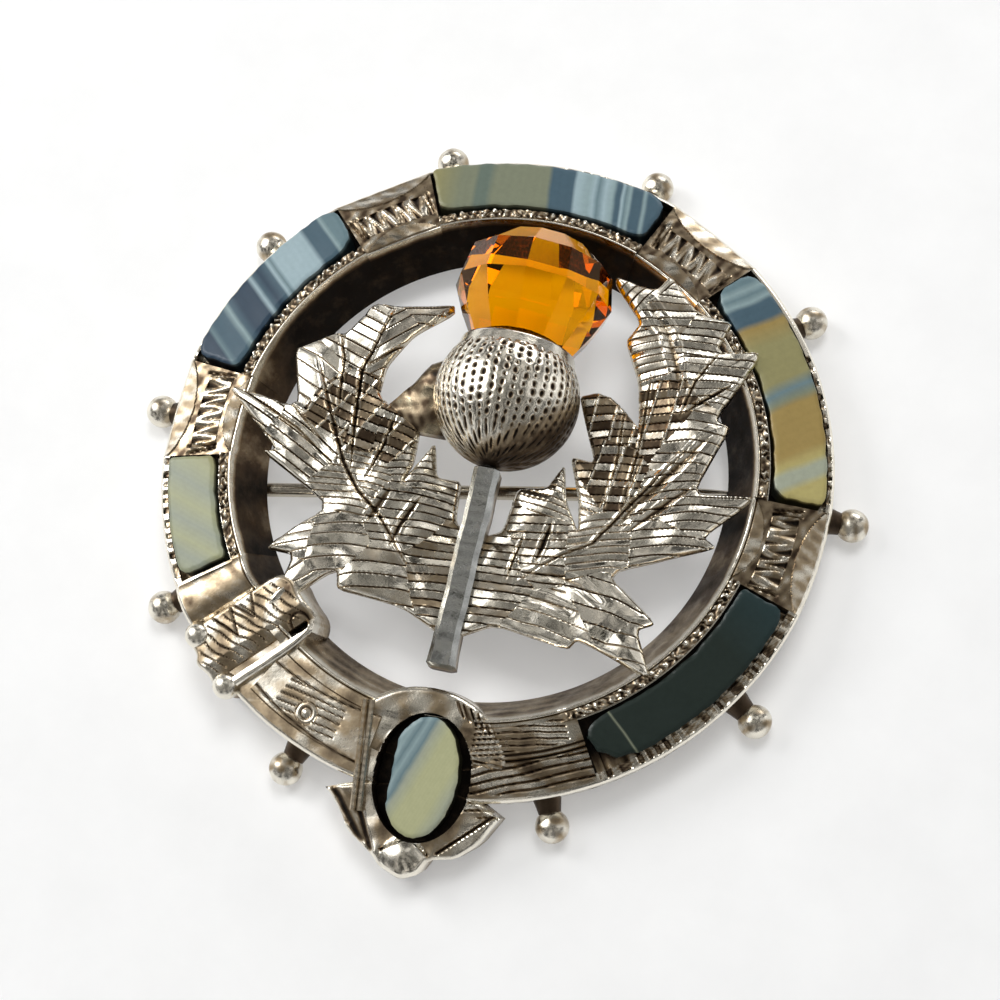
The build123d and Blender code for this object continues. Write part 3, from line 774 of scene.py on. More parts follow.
def belt_arc(first, last, step, radii, relief_of, *row):
    """Closed piece of the belt between two angles; relief_of gives heights above its face."""
    angles = np.linspace(first, last, int(np.ceil((last - first) / step)) + 1)
    radii = np.unique(np.round(np.concatenate([rim_radii, radii, [belt_radius]]), 3))
    angle, radius = np.meshgrid(angles, radii, indexing="ij")
    height, dark = relief_of(angle, radius, *row)
    # Bright wire along the inner edge
    height = height + 0.05 * np.clip(1 - (np.abs(radius - wire_radius) / 0.1) ** 2, 0, 1)
    line = groove(np.abs(radius - wire_line_radius), 0.1)
    height = height - 0.08 * line
    dark = np.where(radius < wire_outer_radius, 0.05, np.maximum(dark, 0.8 * line))
    round_edge = np.clip((radius - edge_round_radius) / (belt_radius - edge_round_radius), 0, 1)
    height = height - edge_round_depth * round_edge**2 - 0.05 * (radius < 15.41)
    worn = dark * (1 - ease(radius, edge_round_radius, edge_round_radius + 0.06))
    dark = np.where(dark < 1.0, worn, dark)
    face_z = face_height(radius) + height * face_normal[1]
    face = np.stack([*at_angle(angle, radius + height * face_normal[0]), face_z], -1)
    # Walls and back
    turn = np.radians(angle[:, :1])
    steps = np.linspace(0, 1, 8)
    walls = []
    for column, back_reach, back_height, shares, seed in (
        (0, belt_back_inner_radius, belt_back_inner_height, 1 - steps[:-1], 9),
        (-1, belt_back_radius, belt_back_height, steps[1:], 8),
    ):
        top_reach = np.hypot(face[:, column, 0], face[:, column, 1])[:, None]
        top_height = face[:, column, 2][:, None]
        wall_height = top_height + (back_height - top_height) * shares
        wave = 0.04 * ripple(turn * top_reach, wall_height, 1.8, seed) * np.sin(np.pi * shares)
        wall_reach = top_reach + (back_reach - top_reach) * shares + wave
        walls.append(np.stack([*at_angle(angle[:, :1], wall_reach), wall_height], -1))
    # Inner wall: painted shade makes it black at the top; dark oxide streaked at the sides, finely lined
    # below
    wall_height = walls[0][..., 2]
    stain = ripple(turn * 15, wall_height * 0.6, 4.5, 11)
    top = band(turn_from(np.degrees(turn), 0), -62, 78, 12)
    low = 1 - ease(np.abs(turn_from(np.degrees(turn), 165)), 35, 60)
    lined = 0.5 + 0.1 * np.sin(wall_height * 2 * np.pi / 0.8) + 0.08 * stain
    inner_shade_and_oxide = top + (1 - top) * (0.74 + 0.2 * stain)
    inner_shade_and_oxide = inner_shade_and_oxide * (1 - low) + lined * low
    # Outer wall darker towards the bottom
    outer_dark = np.broadcast_to(0.05 + 0.5 * steps[1:] ** 2, walls[1].shape[:2])
    points = np.concatenate([walls[0], face, walls[1]], 1)
    shades = np.concatenate([inner_shade_and_oxide, dark, outer_dark], 1)
    # Counted against the angles, so that the faces look outwards
    return grid_part(points[::-1], shades[::-1])


def belt():
    """The belt's arcs: bays with the stones, engraved panels, and the strap's part."""
    bays = []
    for _, first, last, _, _, outer, *notches in stones:
        outside = outer + bay_outer_gap
        fixed = [bay_inner_radius - 0.02, bay_inner_radius + 0.01, 16.8, 18.2, outside - 0.01, outside + 0.01]
        milled_radii = np.arange(rim_inner_radius, rim_outer_radius + 0.1, bay_radius_step)
        edge_radii = np.arange(outside + bay_radius_step, belt_radius, bay_radius_step)
        radii = np.concatenate([milled_radii, fixed, edge_radii])
        row = (first, last, outer, *notches)
        ends = (first - bay_end_gap, last + bay_end_gap)
        bays.append(belt_arc(*ends, bay_turn_step, radii, bay_relief, *row))
    plates = []
    for middle in panel_middles:
        left = max(row[2] + bay_end_gap for row in stones if -20 < turn_from(row[2], middle) < 0)
        right = min(row[1] - bay_end_gap for row in stones if 0 < turn_from(row[1], middle) < 20)
        radii = np.arange(engraved_inner_radius, engraved_outer_radius, panel_radius_step)
        row = (middle, (right - left) / 2)
        plates.append(belt_arc(left, right, panel_turn_step, radii, panel_relief, *row))
    # The strap's part runs from the lower right stone round to the left one
    start = stones[2][2] + bay_end_gap
    end = stones[3][1] - bay_end_gap + 360.0
    radii = np.arange(engraved_inner_radius, engraved_outer_radius, strap_radius_step)
    return bays, plates, belt_arc(start, end, strap_turn_step, radii, strap_relief)


def leaf_base(x, y):
    """Height of a leaf's underside: domed and wavy."""
    far = np.hypot(x, y) / belt_inner_radius
    base = np.interp(far, [row[0] for row in leaf_dome], [row[1] * leaf_seat_height for row in leaf_dome])
    calm = 1 - ease(far, 0.86, 1.0)
    return base + calm * (0.2 * ripple(x, y, 5.6, 44) + 0.07 * ripple(x, y, 3.0, 45))


def leaf_surface(hatches, cuts):
    """Top of a leaf: lobes that swell from their edges, engraved lines and cuts."""
    places = np.array([row[1:3] for row in hatches], float)

    def top(x, y, edge):
        height = leaf_base(x, y) + leaf_sheet - 0.12 + 0.34 * (1 - np.exp(-edge / 0.8))
        bend_x = x + 0.25 * ripple(x, y, 5.0, 21)
        bend_y = y + 0.25 * ripple(x, y, 5.0, 22)
        nearest = np.argmin(np.hypot(bend_x[:, None] - places[:, 0], bend_y[:, None] - places[:, 1]), 1)
        dark = np.full(x.shape, 0.05)
        for number, (name, _, _, angle, pitch, depth, tilt, bow, shade) in enumerate(hatches):
            found = nearest == number
            wave = 0.06 * ripple(x, y, 4.0, 31 + number) + bow * (x - places[number, 0]) ** 2
            line, strip, strip_number = hatch(x, y + wave, angle, pitch, 0.12, 0.37 * number)
            lean = 1.5 * tilt * (0.35 + 1.2 * np.sin(strip_number * 2.4 + number))
            # Strips painted lighter and darker in turn by the place's painted shade, standing in for facets
            # that mirror dark surroundings
            tone = 0.02 + 0.85 * shade * (0.5 + 0.5 * np.sin(strip_number * 1.9 + 2 * number))
            mark = 0.92 * np.sqrt(line) * min(1.0, depth * 12)
            # Ladder places: dark cells between raised bright seams, painted shade of facets that mirror dark
            # surroundings
            if name.startswith("ladder"):
                seam, _, cell = hatch(x, y, angle + leaf_seam_turn, leaf_seam_pitch, 0.24, 0.3 * number)
                tone = (0.08 + 0.62 * np.abs(np.sin(strip_number * 1.7 + cell * 2.3))) * (1 - seam)
                mark = mark * (1 - seam)
                height = np.where(found, height + 0.1 * seam, height)
            height = np.where(found, height + lean * strip - 1.2 * depth * line, height)
            dark = np.where(found, np.maximum(tone, mark), dark)
        for width, depth, points in cuts:
            away, share = line_distance(x, y, points)
            taper = np.sin(np.pi * np.clip(share * 0.94 + 0.03, 0, 1)) ** 0.5
            valley = groove(away, np.maximum(width * taper, 0.05))
            stain = min(1.0, depth * 6) * min(1.0, 0.4 / width)
            dark = np.maximum(dark, np.clip(valley * 1.6 - 0.4, 0, 1) * taper * stain)
            bank = np.clip(1 - np.abs(away - width * 0.62) / 0.12, 0, 1) * taper
            height += 0.05 * bank - depth * valley * taper
            dark = dark * (1 - 0.5 * bank)
        height += 0.05 * ripple(x, y, 2.2, 41)
        return rounded(height, dark, edge, width=0.24, drop=0.2, polish=0.6)

    return top


def leaf(rows, hatches, cuts):
    """One leaf."""
    outline = np.array([row[1:] for row in rows], float).reshape(-1, 2) * leaf_span
    outline = round_corners(outline if signed_area(outline) > 0 else outline[::-1], 0.12, 2)
    return relief(outline, leaf_surface(hatches, cuts), leaf_base, own_frame, leaf_step)


def bulb():
    """Punched ball of the thistle, its dots in lines from the flower to the stem."""
    around = np.linspace(0, 2 * np.pi, bulb_lines * 7, endpoint=False)
    polar, turn = np.meshgrid(np.linspace(0.03, np.pi - 0.03, 170), around, indexing="ij")
    arc = polar * bulb_radius
    pitch = 2 * np.pi * bulb_radius * np.sin(polar) / bulb_lines
    place = turn * bulb_lines / (2 * np.pi)
    number = np.floor(place)
    side = (place - number - 0.5) * pitch + 0.04 * np.sin(number * 3.1 + arc * 2)
    along = arc / bulb_dot_pitch + np.where(number % 2 == 0, 0.0, 0.5) + 0.25 * np.sin(number * 5.3)
    dot_number = np.floor(along)
    offset = (along - dot_number - 0.5) * bulb_dot_pitch
    size = 1.0 + 0.25 * np.sin(number * 7.7 + dot_number * 4.1)
    dot = np.exp(-((side / (0.1 * size)) ** 2) - (offset / (0.155 * size)) ** 2)
    stroke = np.exp(-((side / 0.075) ** 2)) * (0.55 + 0.45 * np.sin(arc * 4.2 + number * 1.7))
    low = 1 - ease(arc, 3.0, 4.8)
    mark = (dot * (1 - low) + stroke * low) * ease(polar, 0.12, 0.4) * ease(np.pi - polar, 0.1, 0.3)
    out_x, out_y, out_z = np.sin(polar) * np.cos(turn), -np.cos(polar), np.sin(polar) * np.sin(turn)
    reach = bulb_radius - 0.12 * np.clip(mark, 0, 1)
    points = np.array(bulb_middle) + np.stack([out_x, out_y, out_z], -1) * reach[..., None]
    dark = np.clip(mark * 1.8 - 0.1, 0, 1)
    # Painted shade: darker towards the lower right, the stem and underneath, and inside the cup under the
    # flower
    dark = np.maximum(dark, 0.68 * ease(0.55 * out_x - 0.25 * out_z - 0.75 * out_y, 0.2, 0.75))
    dark = np.maximum(dark, 0.68 * ease(points[..., 1], 6.5, 6.8))
    return grid_part(points, dark)


def lifted(part, lowest=0.3):
    """Part with nothing below a height."""
    points = part[0].copy()
    points[:, 2] = np.maximum(points[:, 2], lowest)
    return points, part[1], part[2]


def bar_section(y, half, low, high, bevel, x):
    """Eight corners of the stem's section at one place along it."""
    return [
        (x - half, y, low + bevel * 0.5),
        (x - half + bevel * 0.5, y, low),
        (x + half - bevel * 0.5, y, low),
        (x + half, y, low + bevel * 0.5),
        (x + half, y, high - bevel),
        (x + half - bevel, y, high),
        (x - half + bevel, y, high),
        (x - half, y, high - bevel),
    ]


def stem():
    """Bevelled bar from the bulb to the foot, with a flared foot and a small neck."""
    sections = []
    start = bulb_middle[1] - bulb_radius + 0.6
    rows = [(start, 0.5, 0.5), (start - 0.35, 0.62, 0.75), (start - 0.6, 0.5, 0.6), (start - 0.75, 0.84, 0.9)]
    for share in np.linspace(0, 1, 46):
        y = start - 0.85 + (-stem_length + 0.3 - start + 0.85) * share
        flare = 1.0 + 0.1 * ease(share, 0.9, 1.0) + 0.015 * np.sin(share * 37)
        rows.append((y, 0.94 * flare, 1.0))
    rows += [(-stem_length + 0.12, 1.06, 0.96), (-stem_length, 0.82, 0.78)]
    for y, wide, deep in rows:
        middle = stem_height - stem_depth / 2
        half_height = stem_depth / 2 * deep
        low = middle - half_height
        high = middle + half_height + 0.015 * np.sin(y * 5.1)
        x = stem_offset + 0.02 * np.sin(y * 1.3)
        sections.append(bar_section(y, stem_width / 2 * wide, low, high, stem_bevel * 0.8, x))
    return loft(sections, stem_shades)


def globe(rows, columns):
    """Places on a ball of radius 1, from its lowest to its highest."""
    down = np.linspace(0.02, np.pi - 0.02, rows)
    polar, around = np.meshgrid(down, np.linspace(0, 2 * np.pi, columns, endpoint=False), indexing="ij")
    return np.sin(polar) * np.cos(around), np.sin(polar) * np.sin(around), -np.cos(polar)


def ball(angle):
    """One ball and its flared collar."""
    way = np.array([*at_angle(angle, 1.0), 0.0])
    middle = way * ball_reach + np.array([0, 0, ball_radius])
    x, y, z = globe(22, 32)
    seed = int(angle) % 97 + 50
    radius = ball_radius * (1 - 0.012 * (1 + ripple(x, y + z, 1.1, seed)))
    points = middle + np.stack([x, y, z], -1) * radius[..., None]
    sphere = grid_part(points, 0.24 + 0.16 * ripple(x, y, 1.0, seed))
    rings = [way * reach + np.array([0, 0, height]) for reach, height, _ in collar_rings]
    return [sphere, tube(rings, [radius for *_, radius in collar_rings], 24, 0.75)]


def strap_end():
    """Strap end over the belt: recess for the oval, engraved collar, lobes and tip."""
    corners = [(-across * strap_end_width, (reach - 1) * belt_radius) for _, across, reach in strap_outline]
    # The bezel's round and the lobes make one outline
    turns = np.linspace(0, np.pi, 25)[::-1]
    inner_y = bezel_reach - belt_radius - bezel_length / 2 * np.sin(turns)
    inner = np.stack([bezel_width / 2 * np.cos(turns), inner_y], -1)
    outline = np.concatenate([inner[1:-1], corners[-2:0:-1]])
    outline = round_corners(outline if signed_area(outline) > 0 else outline[::-1], 0.15, 1)
    oval_middle = np.array([-oval_offset, oval_reach - belt_radius])
    oval_half = np.array([oval_bay_width, oval_bay_length]) / 2
    turns = np.linspace(0, 2 * np.pi, 72, endpoint=False)
    oval = np.stack([np.cos(turns), np.sin(turns)], -1) * oval_half
    creases = [oval_middle + oval, oval_middle + oval * 0.985]

    def top(x, y, edge):
        right = -x
        height = np.zeros(x.shape)
        dark = 0.32 + 0.16 * ripple(x, y, 1.8, 72)
        oval_share = np.hypot((x - oval_middle[0]) / oval_half[0], (y - oval_middle[1]) / oval_half[1])
        # Fans of lines right of the recess
        line, strip, _ = hatch(right, -y, 14.0, 0.3, 0.16)
        upper = ease(right, 2.6, 2.8) * band(y, -5.0, -2.9, 0.1)
        height += upper * (0.1 * strip - 0.12 * line)
        dark = np.maximum(dark, upper * (0.2 + line * 0.75))
        low_line, low_strip, _ = hatch(right, -y, 12.0, 0.42, 0.2)
        lower = ease(right, 2.6, 2.8) * band(y, -2.3, 0.4, 0.1)
        height += 0.12 * lower * low_strip
        height, dark = cut(height, dark, lower * low_line, 0.14, 0.8)
        for line_y in (-2.75, -2.45):
            line = ease(right, 2.6, 3.0) * groove(np.abs(y - line_y - 0.04 * right), 0.2)
            height, dark = cut(height, dark, line, 0.16)
        # Notches on the collar over the oval
        for count in range(6):
            ends = [(1.4 + 0.42 * count, -5.7 + 0.14 * count), (1.9 + 0.42 * count, -4.9 + 0.16 * count)]
            height, dark = cut(height, dark, groove(line_distance(right, y, ends)[0], 0.2), 0.14)
        # Lobes and tip, leaf-like facets that meet in ridges: start, end, width, depth
        for start, end, width, depth in (
            ((-4.9, 0.2), (-2.6, 3.0), 0.9, 0.22),
            ((-3.2, 0.9), (-1.9, 3.4), 0.6, 0.2),
            ((-4.9, 1.2), (-3.6, 2.2), 0.5, 0.2),
            ((1.9, 2.9), (4.6, 0.3), 0.3, 0.2),
            ((-1.3, 3.3), (0.2, 2.2), 0.24, 0.2),
            ((0.2, 2.2), (1.4, 3.1), 0.24, 0.2),
        ):
            valley = groove(run_distance(right, y, start, end)[0], width)
            height -= depth * valley
            dark = np.maximum(dark, np.clip(valley * 1.4 - 0.2, 0, 1))
        tip = np.clip(1 - ((right - 0.1) / 1.35) ** 2 - ((y - 3.5) / 1.25) ** 2, 0, 1)
        height += 0.45 * tip
        dark = dark * (1 - 0.8 * (tip > 0.05))
        lobe = np.clip((right - 1.6) / 3, 0, 1) * ease(y, 0.6, 1.2)
        height -= 0.2 * lobe * np.clip(y - 0.8, 0, 2)
        bowl = np.clip((-right - 1.6) / 3, 0, 1) * ease(y, 0.2, 1.0)
        height, dark = cut(height, dark, bowl, 0.3, 0.55)
        height += 0.1 * band(y, -6.4, -4.4, 0.3) * (np.abs(right) < 4)
        # Recess for the stone, painted black as shade
        recess = oval_share < 0.993
        height = np.where(recess, -oval_bay_depth, height)
        dark = np.where(recess, 1.0, dark)
        height += 0.02 * ripple(x, y, 1.2, 71) * (oval_share > 1)
        return rounded(height, dark, edge, width=0.3, drop=0.25, polish=0.7)

    return relief(outline, top, -belt_depth, face_frame(180.0, belt_radius), strap_end_step, creases)


def buckle():
    """Buckle plate: hatched, with a slot, a bar beside the strap and two bosses."""
    place = face_frame(buckle_angle, buckle_reach, buckle_turn)
    half_x, half_y = buckle_along / 2, buckle_across / 2
    # Outline in the plate's own plane: x towards the left stone, y outwards
    outline = [
        (-half_x, -half_y + 0.9), (-half_x + 0.9, -half_y), (0.2, -half_y + 0.15), (half_x - 0.8, -half_y),
        (half_x, -half_y + 0.8), (half_x - 0.1, 0.0), (half_x, half_y - 0.9), (half_x - 0.5, half_y),
        (half_x - 1.4, half_y - 0.2), (0.3, half_y + 0.2), (-0.6, half_y - 0.15),
        (-half_x + 0.5, half_y + 0.1), (-half_x, half_y - 0.7),
    ]
    outline = round_corners(outline, 0.22, 2)

    def top(x, y, edge):
        height = np.full(x.shape, buckle_lift)
        dark = np.full(x.shape, 0.1)
        line, strip, _ = hatch(x, y + 0.08 * ripple(x, y, 2.0, 82), 28.0, 0.5, 0.13)
        plate = ease(x, -1.0, -0.8) * ease(edge, 0.2, 0.5)
        height += 0.03 * plate * strip
        height, dark = cut(height, dark, plate * line, 0.08, 0.9)
        dark = np.maximum(dark, 0.4 + 0.16 * ripple(x, y, 1.8, 83))
        # Zigzag at the plate's outer end
        zigzag, _ = line_distance(x, y, [(2.2, -1.2), (0.7, -0.6), (2.2, 0.3), (0.3, 0.8), (2.2, 1.7)])
        height -= 0.07 * groove(zigzag, 0.2)
        dark = np.maximum(dark, 0.95 * groove(zigzag, 0.22))
        dip = np.clip((-0.2 - x) / 1.0, 0, 1) * (x > -1.3)
        height -= 0.35 * dip
        slot = band(x, -1.6, -1.2, 0.05) * band(np.abs(y), -9, half_y - 0.7, 0.1)
        height, dark = cut(height, dark, slot, 0.5)
        bar = ease(-x, 1.55, 1.65)
        height += 0.12 * bar * np.clip(1 - ((x + 1.95) / 0.4) ** 2, 0, 1)
        dark = dark * (1 - 0.8 * bar)
        curl = np.hypot(x + 1.0, y + 2.7)
        ring = groove(np.abs(curl - 0.55), 0.3) * (curl < 1.2)
        height, dark = cut(height, dark, ring, 0.16, 0.9)
        height += 0.015 * ripple(x, y, 1.0, 81)
        return rounded(height, dark, edge, width=0.28, drop=0.25, polish=0.6)

    parts = [lifted(relief(outline, top, -belt_depth, place, buckle_step))]
    for way in (-1, 1):
        parts.append(dome(place, way * (half_x - 0.5), half_y - 0.75, buckle_lift - 0.35, 0.8))
    return parts


def dome(place, x, y, base, radius):
    """Ball let into a plate."""
    across, along, up = globe(16, 24)
    points = place(x + radius * across, y + radius * along, base + radius * up)
    return grid_part(points, 0.1)


def keeper():
    """Milled double bar beside the oval stone."""
    place = face_frame(180.0, belt_radius)
    sin, cos = at_angle(keeper_tilt, 1.0)
    parts = []
    for side in (-0.24, 0.14):
        sections = []
        for along in np.linspace(-1, 1, 60) * keeper_half_length:
            high = 0.28 + 0.01 * np.sin(along * 2 * np.pi / 0.4)
            x = keeper_middle[0] + side * cos - along * sin
            y = keeper_middle[1] + side * sin + along * cos
            across = np.array([-0.17, 0.17, 0.17, 0.08, -0.08, -0.17])
            up = np.array([-0.3, -0.3, high * 0.6, high, high, high * 0.6])
            sections.append(place(x + across, y, up))
        parts.append(loft(sections, 0.34))
    return parts


def pin_frame(distance):
    """Place along the pin's line, and the level direction square to it."""
    along = np.array([np.cos(np.radians(pin_turn)), np.sin(np.radians(pin_turn)), 0.0])
    return np.array([0.0, pin_offset, pin_height]) + distance * along, np.array([-along[1], along[0], 0.0])


def hinge():
    """Knuckles and rivet of the pin's hinge, and its catch."""
    origin, side = pin_frame(-hinge_distance)
    parts = []
    seat = eye_length / 2 + hinge_gap
    for way in (-1, 1):
        rings = [origin + side * way * (seat + distance) for distance, _ in knuckle_rings]
        parts.append(tube(rings, [knuckle_radius + change for _, change in knuckle_rings], 28, 0.3))
    end = seat + knuckle_length
    rivet = [origin + side * distance for distance in (-end - 0.04, -end, end, end + 0.04)]
    parts.append(tube(rivet, [0.2, 0.25, 0.25, 0.2], 20, 0.2))
    turns = np.radians(np.linspace(90, -catch_mouth, 19))[:, None]
    sections = []
    for distance in np.linspace(-catch_length / 2, catch_length / 2, 5):
        middle, side = pin_frame(catch_distance + distance)
        ways = np.cos(turns) * side + np.sin(turns) * np.array([0, 0, 1.0])
        trim = 0.04 if abs(distance) > catch_length / 2 - 0.01 else 0.0
        inner = catch_inner_radius + trim
        outer = catch_inner_radius + catch_wall - trim
        sections.append(np.concatenate([middle + inner * ways, middle + outer * ways[::-1]]))
    parts.append(loft(sections, 0.3))
    return parts


def arm():
    """Flared strut from the bulb to the left leaf."""

    def top(x, y, edge):
        height = arm_height + 0.1 + 0.6 * (1 - np.exp(-edge / 0.7)) + 0.06 * ripple(x, y, 1.6, 61)
        return height, 0.5 + 0.2 * ripple(x, y, 1.7, 62) + 0.14 * ripple(x, y, 0.6, 63)

    return relief(arm_outline[::-1], top, arm_height - 0.6, own_frame, arm_step)


def cup():
    """Rolled rim that holds the flower."""
    turns = np.linspace(0, 2 * np.pi, 96, endpoint=False)
    rings = []
    for y, radius in cup_rings:
        x = bulb_middle[0] + radius * np.cos(turns)
        rings.append(own_frame(x, y, bulb_middle[2] + radius * np.sin(turns)))
    return loft(rings, 0.1)


def stone_part(outline, place, lift, seed):
    """Flat-cut stone: polished table with a softened, slightly chipped edge."""
    outline = divide(np.array(outline, float), 0.35)
    way = np.roll(outline, -1, axis=0) - np.roll(outline, 1, axis=0)
    way = way / np.linalg.norm(way, axis=1)[:, None]
    chip = 0.035 * ripple(outline[:, 0], outline[:, 1], 0.9, seed) + 0.03
    area = signed_area(outline)
    inwards = np.stack([-way[:, 1], way[:, 0]], -1) * np.sign(area)
    outline = outline + inwards * np.clip(chip, 0, None)[:, None]

    def top(x, y, edge):
        height = lift - 0.11 * np.clip(1 - edge / 0.16, 0, 1) ** 2
        return height + 0.01 * ripple(x, y, 2.5, seed + 1), np.zeros(x.shape)

    return relief(outline if area > 0 else outline[::-1], top, -stone_depth, place, stone_step)


def curved_stone(first, last, lift, corners, outer, seed):
    """Stone of the belt: an arc outside, flat facets inside and cut corners."""
    middle = (stone_inner_radius + stone_outer_radius) / 2
    half = np.radians(last - first) / 2
    cuts = [share * stone_width for share in corners]
    reach = 1.3 * np.array(cuts)

    def corner(end, radius, size, out):
        """Rounded corner: its points from the long side to the stone's end."""
        places = []
        for share in np.linspace(0, np.pi / 2, 4):
            turn = end - np.sign(end) * 1.3 * size / radius * (1 - np.sin(share))
            far = radius - out * size * (1 - np.cos(share))
            places.append((far * np.sin(turn), far * np.cos(turn) - middle))
        return places

    def side(start, end, radius, count):
        """Points along a long side, without its ends."""
        turns = np.linspace(start, end, count)[1:-1]
        return [(radius * np.sin(turn), radius * np.cos(turn) - middle) for turn in turns]

    inside = max(3, int(np.ceil((last - first) / 10.0)))
    points = side(-half + reach[3] / outer, half - reach[0] / outer, outer, 15)
    points += corner(half, outer, cuts[0], 1) + corner(half, stone_inner_radius, cuts[1], -1)[::-1]
    inner = stone_inner_radius
    points += side(half - reach[1] / inner, -half + reach[2] / inner, inner, inside + 1)
    points += corner(-half, inner, cuts[2], -1) + corner(-half, outer, cuts[3], 1)[::-1]
    return stone_part(points, face_frame((first + last) / 2, middle), lift, seed)


def oval_stone():
    """Oval stone with one straight side."""
    points = []
    for turn in 2 * np.pi * (np.arange(28) + 0.5) / 28:
        across = min(oval_width / 2 * np.cos(turn), oval_flat_side)
        points.append((across - oval_offset, oval_length / 2 * np.sin(turn)))
    return stone_part(points, face_frame(180.0, oval_reach), oval_lift, 90)


def new_material(name):
    """New material, its node tree, its shader, and the places on the object."""
    material = bpy.data.materials.new(name)
    material.use_nodes = True
    tree = material.node_tree
    place = tree.nodes.new("ShaderNodeTexCoord").outputs["Object"]
    return material, tree, tree.nodes["Principled BSDF"], place


def put(tree, socket, value):
    """Value set on a socket, or linked to it where it is another node's output."""
    if isinstance(value, bpy.types.NodeSocket):
        tree.links.new(value, socket)
    else:
        socket.default_value = value


def add(tree, kind, *sockets, **values):
    """Node of a kind, with its first sockets in order and other sockets or settings by name."""
    node = tree.nodes.new(kind)
    for key, value in values.items():
        if key in node.inputs:
            put(tree, node.inputs[key], value)
        else:
            setattr(node, key, value)
    for socket, value in zip(node.inputs, sockets):
        put(tree, socket, value)
    return node


def calculate(tree, operation, *values, clamp=False):
    """Result of an operation on numbers and outputs."""
    return add(tree, "ShaderNodeMath", *values, operation=operation, use_clamp=clamp).outputs[0]


def stretch(tree, value, start, end, kind="LINEAR"):
    """Value carried over from the range at the start to the one at the end."""
    node = add(tree, "ShaderNodeMapRange", value, *start, *end, interpolation_type=kind)
    return node.outputs["Result"]


def noise(tree, place, scale, detail, roughness):
    """Cloudy noise at a place."""
    node = add(tree, "ShaderNodeTexNoise", Vector=place, Scale=scale, Detail=detail, Roughness=roughness)
    return node.outputs["Fac"]


def blend(tree, kind, first, second):
    """Two colours blended in full."""
    node = add(tree, "ShaderNodeMix", 1.0, data_type="RGBA", blend_type=kind)
    put(tree, node.inputs[6], first)
    put(tree, node.inputs[7], second)
    return node.outputs[2]


def ramp(tree, value, stops):
    """Colour on a ramp from its stops: place and colour."""
    node = add(tree, "ShaderNodeValToRGB", value)
    elements = node.color_ramp.elements
    while len(elements) < len(stops):
        elements.new(0.5)
    for element, (place, colour) in zip(elements, stops):
        element.position = place
        element.color = (*colour, 1.0)
    return node.outputs["Color"]


def set_shader(tree, shader, **sockets):
    """Shader with its sockets set, the spaces in their names written as underscores."""
    for name, value in sockets.items():
        put(tree, shader.inputs[name.replace("_", " ")], value)


def roughen(tree, shader, grain, strength, distance):
    """Shader with fine bumps from a grain."""
    bump = add(tree, "ShaderNodeBump", Strength=strength, Distance=distance, Height=grain)
    put(tree, shader.inputs["Normal"], bump.outputs["Normal"])


def silver(name, tint, worn):
    """Silver, brown and dark where the points are marked dark by tarnish and by painted shade, with light
    scratches and uneven polish.
    """
    material, tree, shader, place = new_material(name)
    shade = add(tree, "ShaderNodeAttribute", attribute_name="dark").outputs["Fac"]
    cloud = noise(tree, place, scale=900.0, detail=5.0, roughness=0.65)
    # The dark attribute brings both tarnish and painted shade; the cloud adds uneven tarnish
    stain = calculate(tree, "MULTIPLY_ADD", cloud, worn, shade)
    lower = calculate(tree, "SUBTRACT", stain, worn * 0.5, clamp=True)
    stops = [
        (0.0, tint),
        (0.2, tuple(value * 0.84 for value in tint)),
        (0.42, (0.38, 0.3, 0.2)),
        (0.68, (0.09, 0.062, 0.04)),
        (1.0, (0.018, 0.015, 0.013)),
    ]
    polish = stretch(tree, cloud, (0.3, 0.7), (0.08, 0.25))
    rough = calculate(tree, "MULTIPLY_ADD", lower, 0.35, polish, clamp=True)
    fine = noise(tree, place, scale=5200.0, detail=3.0, roughness=0.6)
    colour = ramp(tree, lower, stops)
    set_shader(tree, shader, Base_Color=colour, Roughness=rough, Metallic=1.0)
    roughen(tree, shader, fine, strength=0.25, distance=0.00004)
    return material


def agate(name, middle, turn, length, stops, speckle, warp):
    """Polished agate with bands across a direction, from given stops along it."""
    material, tree, shader, place = new_material(name)
    mapping = add(tree, "ShaderNodeMapping", Vector=place, vector_type="TEXTURE")
    mapping.inputs["Location"].default_value = (middle[0] * metres, middle[1] * metres, 0)
    mapping.inputs["Rotation"].default_value = (0, 0, np.radians(turn))
    mapping.inputs["Scale"].default_value = (length * metres, length * metres, length * metres)
    along = mapping.outputs["Vector"]
    across = add(tree, "ShaderNodeSeparateXYZ", along).outputs["X"]
    wave = noise(tree, along, scale=2.2, detail=3.0, roughness=0.5)
    bent = calculate(tree, "MULTIPLY_ADD", wave, warp, across)
    colours = ramp(tree, calculate(tree, "ADD", bent, 0.5 - warp * 0.5), stops)
    grain = noise(tree, place, scale=2600.0, detail=4.0, roughness=0.7)
    tone = stretch(tree, grain, (0.25, 0.75), (1.0 - speckle, 1.0 + speckle))
    # Fine parallel bands in the stone
    bands = add(tree, "ShaderNodeTexWave", Vector=along, Scale=9.0, Distortion=1.5, Detail=2.0)
    stripe = stretch(tree, bands.outputs["Fac"], (0.0, 1.0), (0.985, 1.015))
    # Painted shadow: black below the edges, where the stone sits in its bed
    shade = add(tree, "ShaderNodeAttribute", attribute_name="dark").outputs["Fac"]
    bed_shadow = stretch(tree, shade, (0.02, 0.14), (1.0, 0.08))
    tone_in_bed_shadow = calculate(tree, "MULTIPLY", calculate(tree, "MULTIPLY", tone, stripe), bed_shadow)
    colour = blend(tree, "MULTIPLY", colours, tone_in_bed_shadow)
    set_shader(tree, shader, Base_Color=colour, Roughness=0.32, Specular_IOR_Level=0.3)
    roughen(tree, shader, grain, strength=0.08, distance=0.00003)
    return material


